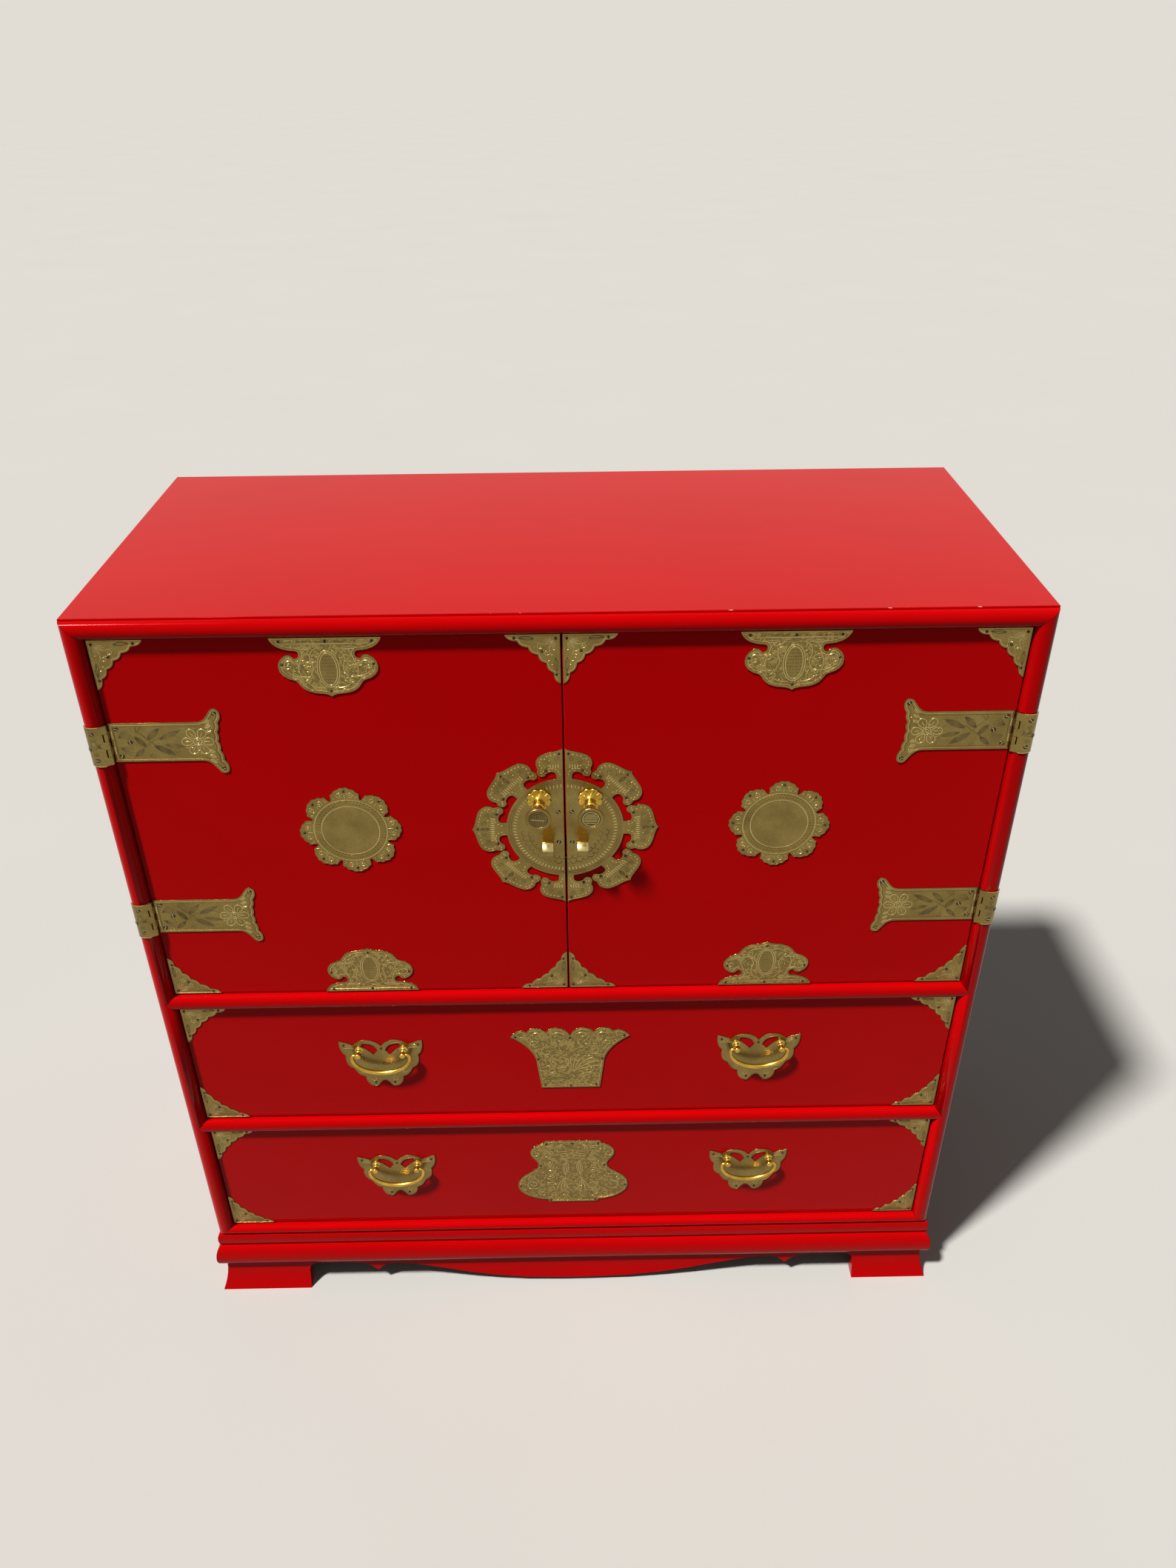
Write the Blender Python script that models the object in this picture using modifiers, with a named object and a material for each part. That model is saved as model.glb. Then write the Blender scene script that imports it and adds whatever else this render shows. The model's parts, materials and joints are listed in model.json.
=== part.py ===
"""Red lacquer chest with brass mounts: two doors over two wide drawers, on a bracket-foot base.

Metres, +Z up, front towards -Y. The origin is under the middle of the whole object, knobs included.
"""

import math

import bmesh
import bpy
from mathutils import Matrix, Vector

# Case
CASE_WIDTH = 1.066
CASE_DEPTH = 0.472
STILE_WIDTH = 0.0215
MOULDING_BULGE = 0.008
MOULDING_DEPTH = 0.020
CROWN_PROUD = 0.004
FACE_RECESS = 0.0064
BACK_THICKNESS = 0.010
BOARD_THICKNESS = 0.018
TOP_THICKNESS = 0.020
SHELF_THICKNESS = 0.016
SHELF_DEPTH = 0.300
SHELF_HEIGHT = 0.250
RAIL_POINT = 0.0105

# Heights, from the floor up
BASE_HEIGHT = 0.119
BOTTOM_RAIL = 0.015
LOWER_DRAWER_OPENING = 0.206
MID_RAIL = 0.022
UPPER_DRAWER_OPENING = 0.2095
DOOR_OPENING = 0.5085
TOP_RAIL = 0.0215
TOP_EDGE = 0.0025

# Clearances
SEAM = 0.0003
DOOR_GAP = 0.0015
RUNNER_PROUD = 0.0005
DRAWER_SIDE_GAP = 0.0008
DRAWER_BACK_GAP = 0.012

# Bracket base: a bead over a torus, fullest low down, over a hollow that flares to the feet
BEAD_HEIGHT = 0.024
BEAD_BULGE = 0.0037
TORUS_HEIGHT = 0.041
TORUS_BULGE = 0.0106
TORUS_BELLY = 0.38
FOOT_FLARE = 0.011
BASE_INSET = 0.010
LEFT_FOOT = 0.1355
RIGHT_FOOT = 0.114
SIDE_FOOT = 0.105
FOOT_COVE = 0.014
ARCH_HEIGHT = 0.046
INNER_ARCH_HEIGHT = 0.043
CUSP_HEIGHT = 0.030
CUSP_FROM_FOOT = 0.1055
SIDE_CUSP_FROM_FOOT = 0.062
CUSP_RUN = 0.042
ARCH_FROM_CUSP = 0.028
DROP_HEIGHT = 0.010
DROP_HALF_WIDTH = 0.020
BASE_BACK_THICKNESS = 0.015

# Doors and drawers
DOOR_THICKNESS = 0.020
FRONT_THICKNESS = 0.020
DRAWER_SIDE = 0.012
DRAWER_BOTTOM = 0.008
BOTTOM_RAISE = 0.006
SIDE_DROP = 0.010

# Brass plates
PLATE = 0.0012
RELIEF = 0.0010
PLATE_MARGIN = 0.0007
CORNER_LEG = 0.0595
CORNER_TIP = 0.0012
CORNER_HOLLOW = 0.0185
CORNER_SCALLOP = 0.0025
MOUNT_X = 0.254
CLOUD_HALF_WIDTH = 0.0605
CLOUD_DROP = 0.0715
MEDALLION_RADIUS = 0.0605
MEDALLION_SHOULDER = 0.0495
MEDALLION_NOTCH = 0.0440
MEDALLION_HEIGHT = 0.2548
MEDALLION_LEAN = 2.6
ROUNDEL_RADIUS = 0.1105
ROUNDEL_DISC = 0.0697
ROUNDEL_HEIGHT = 0.2535
LOBE_HALF_WIDTH = 0.033
LOBE_NECK = 0.009
CROWN_HALF_WIDTH = 0.0803
CROWN_FOOT_HALF_WIDTH = 0.0403
CROWN_DROP = 0.096
CROWN_TIP_BELOW = 0.0628
GOURD_TOP_HALF_WIDTH = 0.0393
GOURD_STEP = 0.0027
GOURD_UPPER_HALF_WIDTH = 0.0605
GOURD_WAIST_HALF_WIDTH = 0.0495
GOURD_LOWER_HALF_WIDTH = 0.0805
GOURD_FOOT_HALF_WIDTH = 0.035
GOURD_DROP = 0.131
GOURD_TOP_BELOW = 0.036

# Hinges
HINGE_HEIGHT = 0.050
HINGE_LEAF = 0.0010
KNUCKLES = 5
KNUCKLE_RADIUS = 0.0044
PIN_RADIUS = 0.0020
BORE_CLEARANCE = 0.0003
AXIS_FROM_OPENING = 0.0005
UPPER_HINGE = 0.3795
LOWER_HINGE = 0.1300
STRAP_LENGTH = 0.130
STRAP_FLARE = 0.030
STRAP_HOLLOW = 0.007
STRAP_SCALLOP = 0.0016
HORN_HALF_HEIGHT = 0.042
HORN_RADIUS = 0.0060

# Knobs and lock staples
KNOB_X = 0.030
KNOB_ABOVE = 0.042
KNOB_LENGTH = 0.044
KNOB_DISC_RADIUS = 0.0155
KNOB_BASE_RADIUS = 0.0147
KNOB_NECK_RADIUS = 0.0046
STAPLE_X = 0.0205
STAPLE_BELOW = 0.014
STAPLE_WIDTH = 0.0132
STAPLE_HEIGHT = 0.0160
STAPLE_REACH = 0.029
STAPLE_STRIP = 0.0030

# Bail pulls
PULL_HALF_WIDTH = 0.0555
PULL_DROP = 0.0848
PULL_TIP_BELOW = 0.065
LOWER_PULL_TIP_BELOW = 0.0615
POST_HALF_SPAN = 0.0298
POST_BELOW_TIP = 0.0165
POST_RADIUS = 0.0042
POST_LENGTH = 0.0145
BAIL_AXIS_OUT = 0.0100
BAIL_PIN_RADIUS = 0.0013
BAIL_MIDDLE_RADIUS = 0.0026
BAIL_OVERHANG = 0.0087
BAIL_BEND = 0.006
BAIL_DROP = 0.0330

# Levels
Z_CASE = BASE_HEIGHT
Z_LOWER = Z_CASE + BOTTOM_RAIL
Z_LOWER_TOP = Z_LOWER + LOWER_DRAWER_OPENING
Z_UPPER = Z_LOWER_TOP + MID_RAIL
Z_UPPER_TOP = Z_UPPER + UPPER_DRAWER_OPENING
Z_DOOR = Z_UPPER_TOP + MID_RAIL
Z_DOOR_TOP = Z_DOOR + DOOR_OPENING
Z_LIP = Z_DOOR_TOP + TOP_RAIL
Z_TOP = Z_LIP + TOP_EDGE

# Widths and depths
HALF_WIDTH = CASE_WIDTH / 2
HALF_OPENING = HALF_WIDTH - STILE_WIDTH
FRONT_Y = -(CASE_DEPTH + FACE_RECESS - SEAM - PLATE - SEAM - KNOB_LENGTH) / 2
BACK_Y = FRONT_Y + CASE_DEPTH
CROWN_Y = FRONT_Y - CROWN_PROUD
MOULDING_EDGE_Y = CROWN_Y + MOULDING_BULGE
FRAME_BACK_Y = CROWN_Y + MOULDING_DEPTH
FACE_Y = FRONT_Y + FACE_RECESS
PLATE_Y = FACE_Y - SEAM - PLATE / 2
HINGE_X = HALF_OPENING + AXIS_FROM_OPENING
HINGE_Y = FACE_Y - SEAM - KNUCKLE_RADIUS
BORE_RADIUS = PIN_RADIUS + BORE_CLEARANCE
BAIL_AXIS_Y = FACE_Y - SEAM - PLATE - BAIL_AXIS_OUT

ARC_STEPS = 12
SHARP_ANGLE = math.radians(35)
UPRIGHT = (math.pi / 2, 0, 0)

for leftover in list(bpy.data.objects):
    bpy.data.objects.remove(leftover)

PARTS = bpy.data.collections.new("lacquer_chest")
CUTTERS = bpy.data.collections.new("chest_cutters")
bpy.context.scene.collection.children.link(PARTS)
bpy.context.scene.collection.children.link(CUTTERS)


def material(name, colour, roughness, metallic):
    made = bpy.data.materials.new(name)
    made.use_nodes = True
    shader = made.node_tree.nodes["Principled BSDF"]
    shader.inputs["Base Color"].default_value = (*colour, 1)
    shader.inputs["Roughness"].default_value = roughness
    shader.inputs["Metallic"].default_value = metallic
    return made


LACQUER = material("red_lacquer", (0.27, 0.002, 0.003), 0.14, 0.0)
INNER_WOOD = material("plain_wood", (0.42, 0.27, 0.14), 0.60, 0.0)
BRASS = material("brass", (0.42, 0.33, 0.13), 0.32, 1.0)


# Points of outlines


def arc(centre, radius, start, end, steps=ARC_STEPS):
    """Points along an arc, from start to end in degrees. A pair of radii makes it an ellipse."""
    rx, ry = radius if isinstance(radius, tuple) else (radius, radius)
    angles = [math.radians(start + (end - start) * i / steps) for i in range(steps + 1)]
    return [(centre[0] + rx * math.cos(a), centre[1] + ry * math.sin(a)) for a in angles]


def bezier(a, b, c, d, steps=5):
    """Points along a cubic from a to d, without a itself."""
    points = []
    for i in range(1, steps + 1):
        t = i / steps
        u = 1 - t
        weights = (u**3, 3 * u * u * t, 3 * u * t * t, t**3)
        points.append(tuple(sum(w * p[k] for w, p in zip(weights, (a, b, c, d))) for k in (0, 1)))
    return points


def path(start, *segments, steps=5):
    """Points from start along cubics, given as two bends and an end, and straight lines, as an end alone."""
    points = [start]
    for *bends, end in segments:
        points += bezier(points[-1], *bends, end, steps) if bends else [end]
    return points


def scaled(points, sx=1, sy=1):
    return [(sx * x, sy * y) for x, y in points]


def shifted(points, dx, dy):
    return [(x + dx, y + dy) for x, y in points]


def turned(points, angle):
    c, s = math.cos(angle), math.sin(angle)
    return [(c * x - s * y, s * x + c * y) for x, y in points]


def symmetric(right_half):
    """A closed loop from its right half, which runs from one end of the axis to the other."""
    left = [(-x, y) for x, y in reversed(right_half) if x > SEAM]
    return right_half + left


# Objects


def world_of(owner):
    return owner.location + (world_of(owner.parent) if owner.parent else Vector())


def mount(obj, owner, at, rotation=(0, 0, 0)):
    """Parents obj to owner, whose axes are the world's, with its origin at the world point at."""
    obj.parent = owner
    obj.location = Vector(at) - world_of(owner)
    obj.rotation_euler = rotation
    return obj


def pivot(name, owner, at):
    empty = bpy.data.objects.new(name, None)
    empty.empty_display_size = 0.03
    PARTS.objects.link(empty)
    return mount(empty, owner, at)


def part(name, mesh, finish, owner, at, rotation=(0, 0, 0)):
    obj = bpy.data.objects.new(name, mesh)
    PARTS.objects.link(obj)
    if not mesh.materials:
        mesh.materials.append(finish)
    return mount(obj, owner, at, rotation)


def cutter(name, mesh, owner, at, rotation=(0, 0, 0)):
    obj = bpy.data.objects.new(name, mesh)
    CUTTERS.objects.link(obj)
    obj.hide_render = True
    obj.display_type = "WIRE"
    return mount(obj, owner, at, rotation)


def boolean(target, tool, operation):
    modifier = target.modifiers.new(tool.name, "BOOLEAN")
    modifier.operation = operation
    modifier.object = tool


def welded(obj):
    """The evaluated shape of obj as one welded mesh. The object itself is removed."""
    bpy.context.view_layer.update()
    graph = bpy.context.evaluated_depsgraph_get()
    mesh = bpy.data.meshes.new_from_object(obj.evaluated_get(graph))
    form = bmesh.new()
    form.from_mesh(mesh)
    bmesh.ops.remove_doubles(form, verts=form.verts, dist=1e-6)
    bmesh.ops.recalc_face_normals(form, faces=form.faces)
    form.to_mesh(mesh)
    form.free()
    mesh.materials.clear()
    mesh.shade_smooth()
    mesh.set_sharp_from_angle(angle=SHARP_ANGLE)
    bpy.data.objects.remove(obj)
    return mesh


def extrusion(name, loops, thickness):
    """A mesh of flat loops in local XY, thickness along Z and centred on it."""
    curve = bpy.data.curves.new(name, "CURVE")
    curve.dimensions = "2D"
    curve.fill_mode = "BOTH"
    curve.extrude = thickness / 2
    for loop in loops:
        spline = curve.splines.new("POLY")
        spline.points.add(len(loop) - 1)
        for point, (x, y) in zip(spline.points, loop):
            point.co = (x, y, 0, 1)
        spline.use_cyclic_u = True
    obj = bpy.data.objects.new(name, curve)
    PARTS.objects.link(obj)
    return welded(obj)


def turned_mesh(name, profile, steps):
    """A solid of revolution about local Z. The profile, of (radius, height), runs from top to bottom."""
    mesh = bpy.data.meshes.new(name)
    edges = [(i, i + 1) for i in range(len(profile) - 1)]
    mesh.from_pydata([(r, 0, h) for r, h in profile], edges, [])
    obj = bpy.data.objects.new(name, mesh)
    PARTS.objects.link(obj)
    screw = obj.modifiers.new("turn", "SCREW")
    screw.steps = screw.render_steps = steps
    screw.use_merge_vertices = True
    screw.merge_threshold = 0.00005
    return welded(obj)


def box_mesh(name, size):
    form = bmesh.new()
    bmesh.ops.create_cube(form, size=1, matrix=Matrix.Diagonal((*size, 1)))
    mesh = bpy.data.meshes.new(name)
    form.to_mesh(mesh)
    form.free()
    return mesh


def rod_mesh(name, radius, length, segments):
    form = bmesh.new()
    bmesh.ops.create_cone(
        form, cap_ends=True, segments=segments, radius1=radius, radius2=radius, depth=length
    )
    mesh = bpy.data.meshes.new(name)
    form.to_mesh(mesh)
    form.free()
    mesh.shade_smooth()
    mesh.set_sharp_from_angle(angle=SHARP_ANGLE)
    return mesh


def board(name, xs, ys, zs, finish, owner):
    size = [high - low for low, high in (xs, ys, zs)]
    middle = [(high + low) / 2 for low, high in (xs, ys, zs)]
    return part(name, box_mesh(name, size), finish, owner, middle)


def slanted(mesh, low, high):
    """Sets the end faces of an extrusion: low and high give their local Z from the local X and Y."""
    for vertex in mesh.vertices:
        end = high if vertex.co.z > 0 else low
        vertex.co.z = end(vertex.co.x, vertex.co.y)
    return mesh


def facing(x_axis, y_axis):
    """The turn that brings local X and Y to the given world directions."""
    x, y = Vector(x_axis), Vector(y_axis)
    return Matrix((x, y, x.cross(y))).transposed().to_euler()


# Case


def moulding_loop(width):
    """Section of a half-round moulding: X across it, Y to the back, from the middle of the crown."""
    crown = arc((0, MOULDING_BULGE), (width / 2, MOULDING_BULGE), 0, -180)
    return crown + [(-width / 2, MOULDING_DEPTH), (width / 2, MOULDING_DEPTH)]


def rail_loop(height):
    """The same section with X to the back and Y up."""
    return [(y, x) for x, y in moulding_loop(height)]


def rail_point(grow):
    """Tip and shoulder of a pointed rail end, carried past the rail's edges: X out, Y up from mid-rail."""
    past = 1.5
    tip = HALF_OPENING + RAIL_POINT + grow
    return (tip, 0), (tip - RAIL_POINT * past, MID_RAIL / 2 * past)


def rail_notch():
    """The wedge that a pointed rail end takes from a stile."""
    tip, (x, y) = rail_point(2 * SEAM)
    return [tip, (x, y), (x, -y)]


def rail_end():
    """What is cut from a square rail end to point it: the block around the wedge."""
    tip, (x, y) = rail_point(0)
    far = tip[0] + RAIL_POINT
    return [tip, (x, y), (far, y), (far, -y), (x, -y)]


def stile(side, name, case):
    """An upright of the front frame, mitred at both ends and notched for the two rails."""

    def inward(x):
        return (STILE_WIDTH / 2 - side * x) / STILE_WIDTH

    def low(x, _):
        return Z_CASE + BOTTOM_RAIL * inward(x) + SEAM

    def high(x, _):
        return Z_LIP - TOP_RAIL * inward(x) - SEAM

    mesh = slanted(extrusion(name, [moulding_loop(STILE_WIDTH)], Z_LIP), low, high)
    post = part(name, mesh, LACQUER, case, (side * (HALF_WIDTH - STILE_WIDTH / 2), CROWN_Y, 0))
    for level, label in ((Z_LOWER_TOP, "lower"), (Z_UPPER_TOP, "upper")):
        wedge = extrusion(f"{name}_{label}_notch", [scaled(rail_notch(), side)], 2 * MOULDING_DEPTH)
        at = (0, CROWN_Y + MOULDING_DEPTH / 2, level + MID_RAIL / 2)
        boolean(post, cutter(wedge.name, wedge, case, at, UPRIGHT), "DIFFERENCE")
    for height, label in ((LOWER_HINGE, "lower"), (UPPER_HINGE, "upper")):
        bore = rod_mesh(f"{name}_{label}_gain", KNUCKLE_RADIUS + 2 * SEAM, HINGE_HEIGHT + 4 * SEAM, 24)
        at = (side * HINGE_X, HINGE_Y, Z_DOOR + height)
        boolean(post, cutter(bore.name, bore, case, at), "DIFFERENCE")


def level_rail(name, low_z, height, mitre, case):
    """A rail across the front whose ends are mitred to the stiles: mitre is 1 at the top, -1 at the bottom."""

    def right(_, y):
        return HALF_OPENING + STILE_WIDTH * (0.5 + mitre * y / height) - SEAM

    def left(x, y):
        return -right(x, y)

    mesh = slanted(extrusion(name, [rail_loop(height)], CASE_WIDTH), left, right)
    at = (0, CROWN_Y, low_z + height / 2)
    part(name, mesh, LACQUER, case, at, facing((0, 1, 0), (0, 0, 1)))


def rail_board(name, low_z, case):
    """A board across the case whose front edge is a half-round rail with pointed ends."""
    length = 2 * HALF_OPENING + 3 * RAIL_POINT
    nosing = extrusion(name, [rail_loop(MID_RAIL)], length)
    middle_z = low_z + MID_RAIL / 2
    rail = part(name, nosing, LACQUER, case, (0, CROWN_Y, middle_z), facing((0, 1, 0), (0, 0, 1)))
    ends = extrusion(f"{name}_ends", [rail_end(), scaled(rail_end(), -1)], 2 * MOULDING_DEPTH)
    at = (0, CROWN_Y + MOULDING_DEPTH / 2, middle_z)
    boolean(rail, cutter(ends.name, ends, case, at, UPRIGHT), "DIFFERENCE")
    front, back = FRAME_BACK_Y - BOARD_THICKNESS / 4, BACK_Y - BACK_THICKNESS - SEAM
    top = low_z + MID_RAIL + RUNNER_PROUD
    floor = box_mesh(f"{name}_floor", (2 * (HALF_OPENING - SEAM), back - front, BOARD_THICKNESS))
    floor_at = (0, (front + back) / 2, top - BOARD_THICKNESS / 2)
    boolean(rail, cutter(floor.name, floor, case, floor_at), "UNION")


def top_panel(case):
    """The top board, thinned along its front edge to end flush above the top rail's half-round."""
    front, back = MOULDING_EDGE_Y, BACK_Y
    step = FRAME_BACK_Y + SEAM
    lip, under = Z_LIP + SEAM, Z_TOP - TOP_THICKNESS
    loop = [(front, Z_TOP), (back, Z_TOP), (back, under), (step, under), (step, lip), (front, lip)]
    mesh = extrusion("top_panel", [loop], CASE_WIDTH)
    part("top_panel", mesh, LACQUER, case, (0, 0, 0), facing((0, 1, 0), (0, 0, 1)))


def case_boards(case):
    under_top = Z_TOP - TOP_THICKNESS - SEAM
    behind = FRAME_BACK_Y + SEAM
    inside = BACK_Y - BACK_THICKNESS
    between = HALF_OPENING - SEAM
    for side, name in ((-1, "left_side"), (1, "right_side")):
        xs = sorted((side * HALF_OPENING, side * HALF_WIDTH))
        board(name, xs, (behind, BACK_Y), (Z_CASE, under_top), LACQUER, case)
    board("back_panel", (-between, between), (inside, BACK_Y), (Z_CASE, under_top), INNER_WOOD, case)
    floor_top = Z_LOWER + RUNNER_PROUD
    board("bottom_panel", (-between, between), (behind, inside - SEAM), (Z_CASE, floor_top), INNER_WOOD, case)
    shelf_z = Z_DOOR + SHELF_HEIGHT
    shelf_back = inside - SEAM
    board(
        "shelf", (-between, between), (shelf_back - SHELF_DEPTH, shelf_back),
        (shelf_z, shelf_z + SHELF_THICKNESS), INNER_WOOD, case,
    )


# Base


def base_loop():
    """Section of the base moulding: X out from the case, Y up from the floor. It just clears the case."""
    torus_top = BASE_HEIGHT - BEAD_HEIGHT
    hollow_top = torus_top - TORUS_HEIGHT
    belly = hollow_top + TORUS_HEIGHT * TORUS_BELLY
    bead = arc((0, BASE_HEIGHT - BEAD_HEIGHT / 2), (BEAD_BULGE, BEAD_HEIGHT / 2), 90, -90, 8)
    torus = arc((0, belly), (TORUS_BULGE, torus_top - belly), 90, 0, 6)
    torus += arc((0, belly), (TORUS_BULGE, belly - hollow_top), 0, -90, 5)[1:]
    hollow = bezier(
        torus[-1], (0, hollow_top * 0.6), (FOOT_FLARE * 0.5, hollow_top * 0.25), (FOOT_FLARE, 0)
    )
    loop = bead + torus[1:] + hollow + [(-BASE_INSET, 0), (-BASE_INSET, BASE_HEIGHT)]
    return [(x, min(y, BASE_HEIGHT - SEAM)) for x, y in loop]


def apron_half(foot_edge, cusp_from_foot):
    """Right half of an apron's cut: up the foot, round a cove, along to a cusp and up to an inner arch."""
    cusp = foot_edge - cusp_from_foot
    arch = cusp - ARCH_FROM_CUSP
    fall = ARCH_HEIGHT - CUSP_HEIGHT
    rise = INNER_ARCH_HEIGHT - CUSP_HEIGHT
    cove = arc((foot_edge - FOOT_COVE, ARCH_HEIGHT - FOOT_COVE), FOOT_COVE, 0, 90, 4)
    return [(foot_edge, -ARCH_HEIGHT)] + cove + path(
        (cusp + CUSP_RUN, ARCH_HEIGHT),
        ((cusp + CUSP_RUN * 0.5, ARCH_HEIGHT), (cusp + CUSP_RUN * 0.2, CUSP_HEIGHT + fall * 0.6), (cusp, CUSP_HEIGHT)),
        ((cusp - ARCH_FROM_CUSP * 0.2, CUSP_HEIGHT + rise * 0.6), (cusp - ARCH_FROM_CUSP * 0.5, INNER_ARCH_HEIGHT),
         (arch, INNER_ARCH_HEIGHT)),
        steps=4,
    )


def drop_slope(start):
    """From an inner arch down a long slope to the drop in the middle of the front apron."""
    x, z = start
    return bezier(start, (x * 0.8, z), (x * 0.6, DROP_HEIGHT), (DROP_HALF_WIDTH, DROP_HEIGHT), 7)


def base_board(name, length, low, high, at, x_axis, case):
    mesh = slanted(extrusion(name, [base_loop()], length), low, high)
    return part(name, mesh, LACQUER, case, at, facing(x_axis, (0, 0, 1)))


def base_front(case):
    def right_end(x, _):
        return HALF_WIDTH + x - SEAM

    def left_end(x, y):
        return -right_end(x, y)

    front = base_board("base_front", CASE_WIDTH, left_end, right_end, (0, FRONT_Y, 0), (0, -1, 0), case)
    right = apron_half(HALF_WIDTH + FOOT_FLARE - RIGHT_FOOT, CUSP_FROM_FOOT)
    left = apron_half(HALF_WIDTH + FOOT_FLARE - LEFT_FOOT, CUSP_FROM_FOOT)
    right += drop_slope(right[-1])
    left += drop_slope(left[-1])
    apron = extrusion("front_apron", [right + scaled(left, -1)[::-1]], 4 * (FOOT_FLARE + BASE_INSET))
    boolean(front, cutter(apron.name, apron, case, (0, FRONT_Y, 0), UPRIGHT), "DIFFERENCE")


def base_flank(name, side, case):
    """A side of the base, mitred to the front. Local Z runs to the back on the left, to the front on the right."""

    def front_end(x, _):
        return side * (CASE_DEPTH / 2 + x - SEAM)

    def back_end(_x, _y):
        return -side * CASE_DEPTH / 2

    low, high = (front_end, back_end) if side < 0 else (back_end, front_end)
    at = (side * HALF_WIDTH, (FRONT_Y + BACK_Y) / 2, 0)
    flank = base_board(name, CASE_DEPTH, low, high, at, (side, 0, 0), case)
    half = apron_half(CASE_DEPTH / 2 + FOOT_FLARE - SIDE_FOOT, SIDE_CUSP_FROM_FOOT)
    arch = extrusion(f"{name}_arch", [symmetric(half)], 4 * (FOOT_FLARE + BASE_INSET))
    boolean(flank, cutter(arch.name, arch, case, at, (math.pi / 2, 0, math.pi / 2)), "DIFFERENCE")


def base_back(case):
    """A plain board between the sides of the base, arched between its feet."""
    half = HALF_WIDTH - BASE_INSET - SEAM
    foot = HALF_WIDTH + FOOT_FLARE - SIDE_FOOT
    top = BASE_HEIGHT - SEAM
    cove = arc((foot - FOOT_COVE, ARCH_HEIGHT - FOOT_COVE), FOOT_COVE, 90, 0, 4)
    loop = symmetric(cove + [(foot, 0), (half, 0), (half, top)])
    mesh = extrusion("base_back", [loop], BASE_BACK_THICKNESS)
    part("base_back", mesh, LACQUER, case, (0, BACK_Y - BASE_BACK_THICKNESS / 2, 0), UPRIGHT)


# Corner plates, raised on the panel that carries them


def corner_loop():
    """A right-angled plate whose long edge is a shallow hollow of scallops. Its corner is at the origin."""
    lobes, steps = 6, 3
    a, b, c = (CORNER_LEG, CORNER_TIP), (CORNER_HOLLOW, CORNER_HOLLOW), (CORNER_TIP, CORNER_LEG)
    points = [(0, 0), (CORNER_LEG, 0), a]
    count = lobes * steps
    for i in range(1, count):
        t = i / count
        out = CORNER_SCALLOP * abs(math.sin(math.pi * lobes * t)) / math.sqrt(2)
        points.append(tuple((1 - t) ** 2 * a[k] + 2 * t * (1 - t) * b[k] + t * t * c[k] + out for k in (0, 1)))
    return points + [c, (0, CORNER_LEG)]


def panel_with_corners(name, xs, zs, thickness, owner):
    """A flat slab with its face at FACE_Y and a corner plate raised on each corner of it."""
    slab = board(name, xs, (FACE_Y, FACE_Y + thickness), zs, LACQUER, owner)
    half_x, half_z = (xs[1] - xs[0]) / 2 - PLATE_MARGIN, (zs[1] - zs[0]) / 2 - PLATE_MARGIN
    loops = []
    for sx in (-1, 1):
        for sz in (-1, 1):
            loops.append(shifted(scaled(corner_loop(), -sx, -sz), sx * half_x, sz * half_z))
    plates = extrusion(f"{name}_corners", loops, 2 * RELIEF)
    at = ((xs[0] + xs[1]) / 2, FACE_Y, (zs[0] + zs[1]) / 2)
    boolean(slab, cutter(plates.name, plates, owner, at, UPRIGHT), "UNION")


# Hinges


def knuckle_loop(reach):
    """A rolled knuckle about the origin with its leaf leaving along +X, on the +Y side."""
    y_outer, y_inner = KNUCKLE_RADIUS - 0.1 * HINGE_LEAF, KNUCKLE_RADIUS - 0.9 * HINGE_LEAF
    a_outer = math.degrees(math.asin(y_outer / KNUCKLE_RADIUS))
    a_inner = math.degrees(math.asin(y_inner / KNUCKLE_RADIUS))
    ring = arc((0, 0), KNUCKLE_RADIUS, a_inner, a_outer - 360)
    return ring + [(reach, y_outer), (reach, y_inner)]


def knuckle_spans(first):
    """Low and high ends of every other knuckle, about the middle of the hinge."""
    pitch = HINGE_HEIGHT / KNUCKLES
    for i in range(first, KNUCKLES, 2):
        yield -HINGE_HEIGHT / 2 + i * pitch + SEAM / 2, -HINGE_HEIGHT / 2 + (i + 1) * pitch - SEAM / 2


def add_knuckles(leaf, loop, first, owner, at):
    bore = arc((0, 0), BORE_RADIUS, 0, 320, 8)
    for low, high in knuckle_spans(first):
        mesh = extrusion(f"{leaf.name}_knuckle", [loop, bore], high - low)
        tool = cutter(mesh.name, mesh, owner, (at[0], at[1], at[2] + (low + high) / 2))
        boolean(leaf, tool, "UNION")


def frame_leaf(name, side, at, case):
    """The short leaf, bent over the stile's moulding from the barrel to the outer edge."""
    centre = (HALF_OPENING + STILE_WIDTH / 2 - HINGE_X, HINGE_Y - MOULDING_EDGE_Y)
    clear = KNUCKLE_RADIUS + 2 * SEAM
    start = 180 - math.degrees(math.acos((centre[0] - clear) / (STILE_WIDTH / 2)))
    end = 12
    inner = (STILE_WIDTH / 2 + SEAM, MOULDING_BULGE + SEAM)
    outer = (inner[0] + HINGE_LEAF, inner[1] + HINGE_LEAF)
    # X runs towards the outer edge and Y to the front, from the axis.
    over = arc(centre, outer, start, end)
    band = over + arc(centre, inner, end, start)
    tip = Vector(over[0]) * 0.99
    reach = math.sqrt(tip.length_squared - KNUCKLE_RADIUS**2)
    lean = math.atan2(tip.y, tip.x) + math.acos(KNUCKLE_RADIUS / tip.length) - math.pi / 2
    loop = turned(knuckle_loop(reach + 2 * SEAM), lean)
    mesh = extrusion(name, [scaled(band, side, -1)], HINGE_HEIGHT)
    leaf = part(name, mesh, BRASS, case, at)
    add_knuckles(leaf, scaled(loop, side, -1), 0, case, at)


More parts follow.
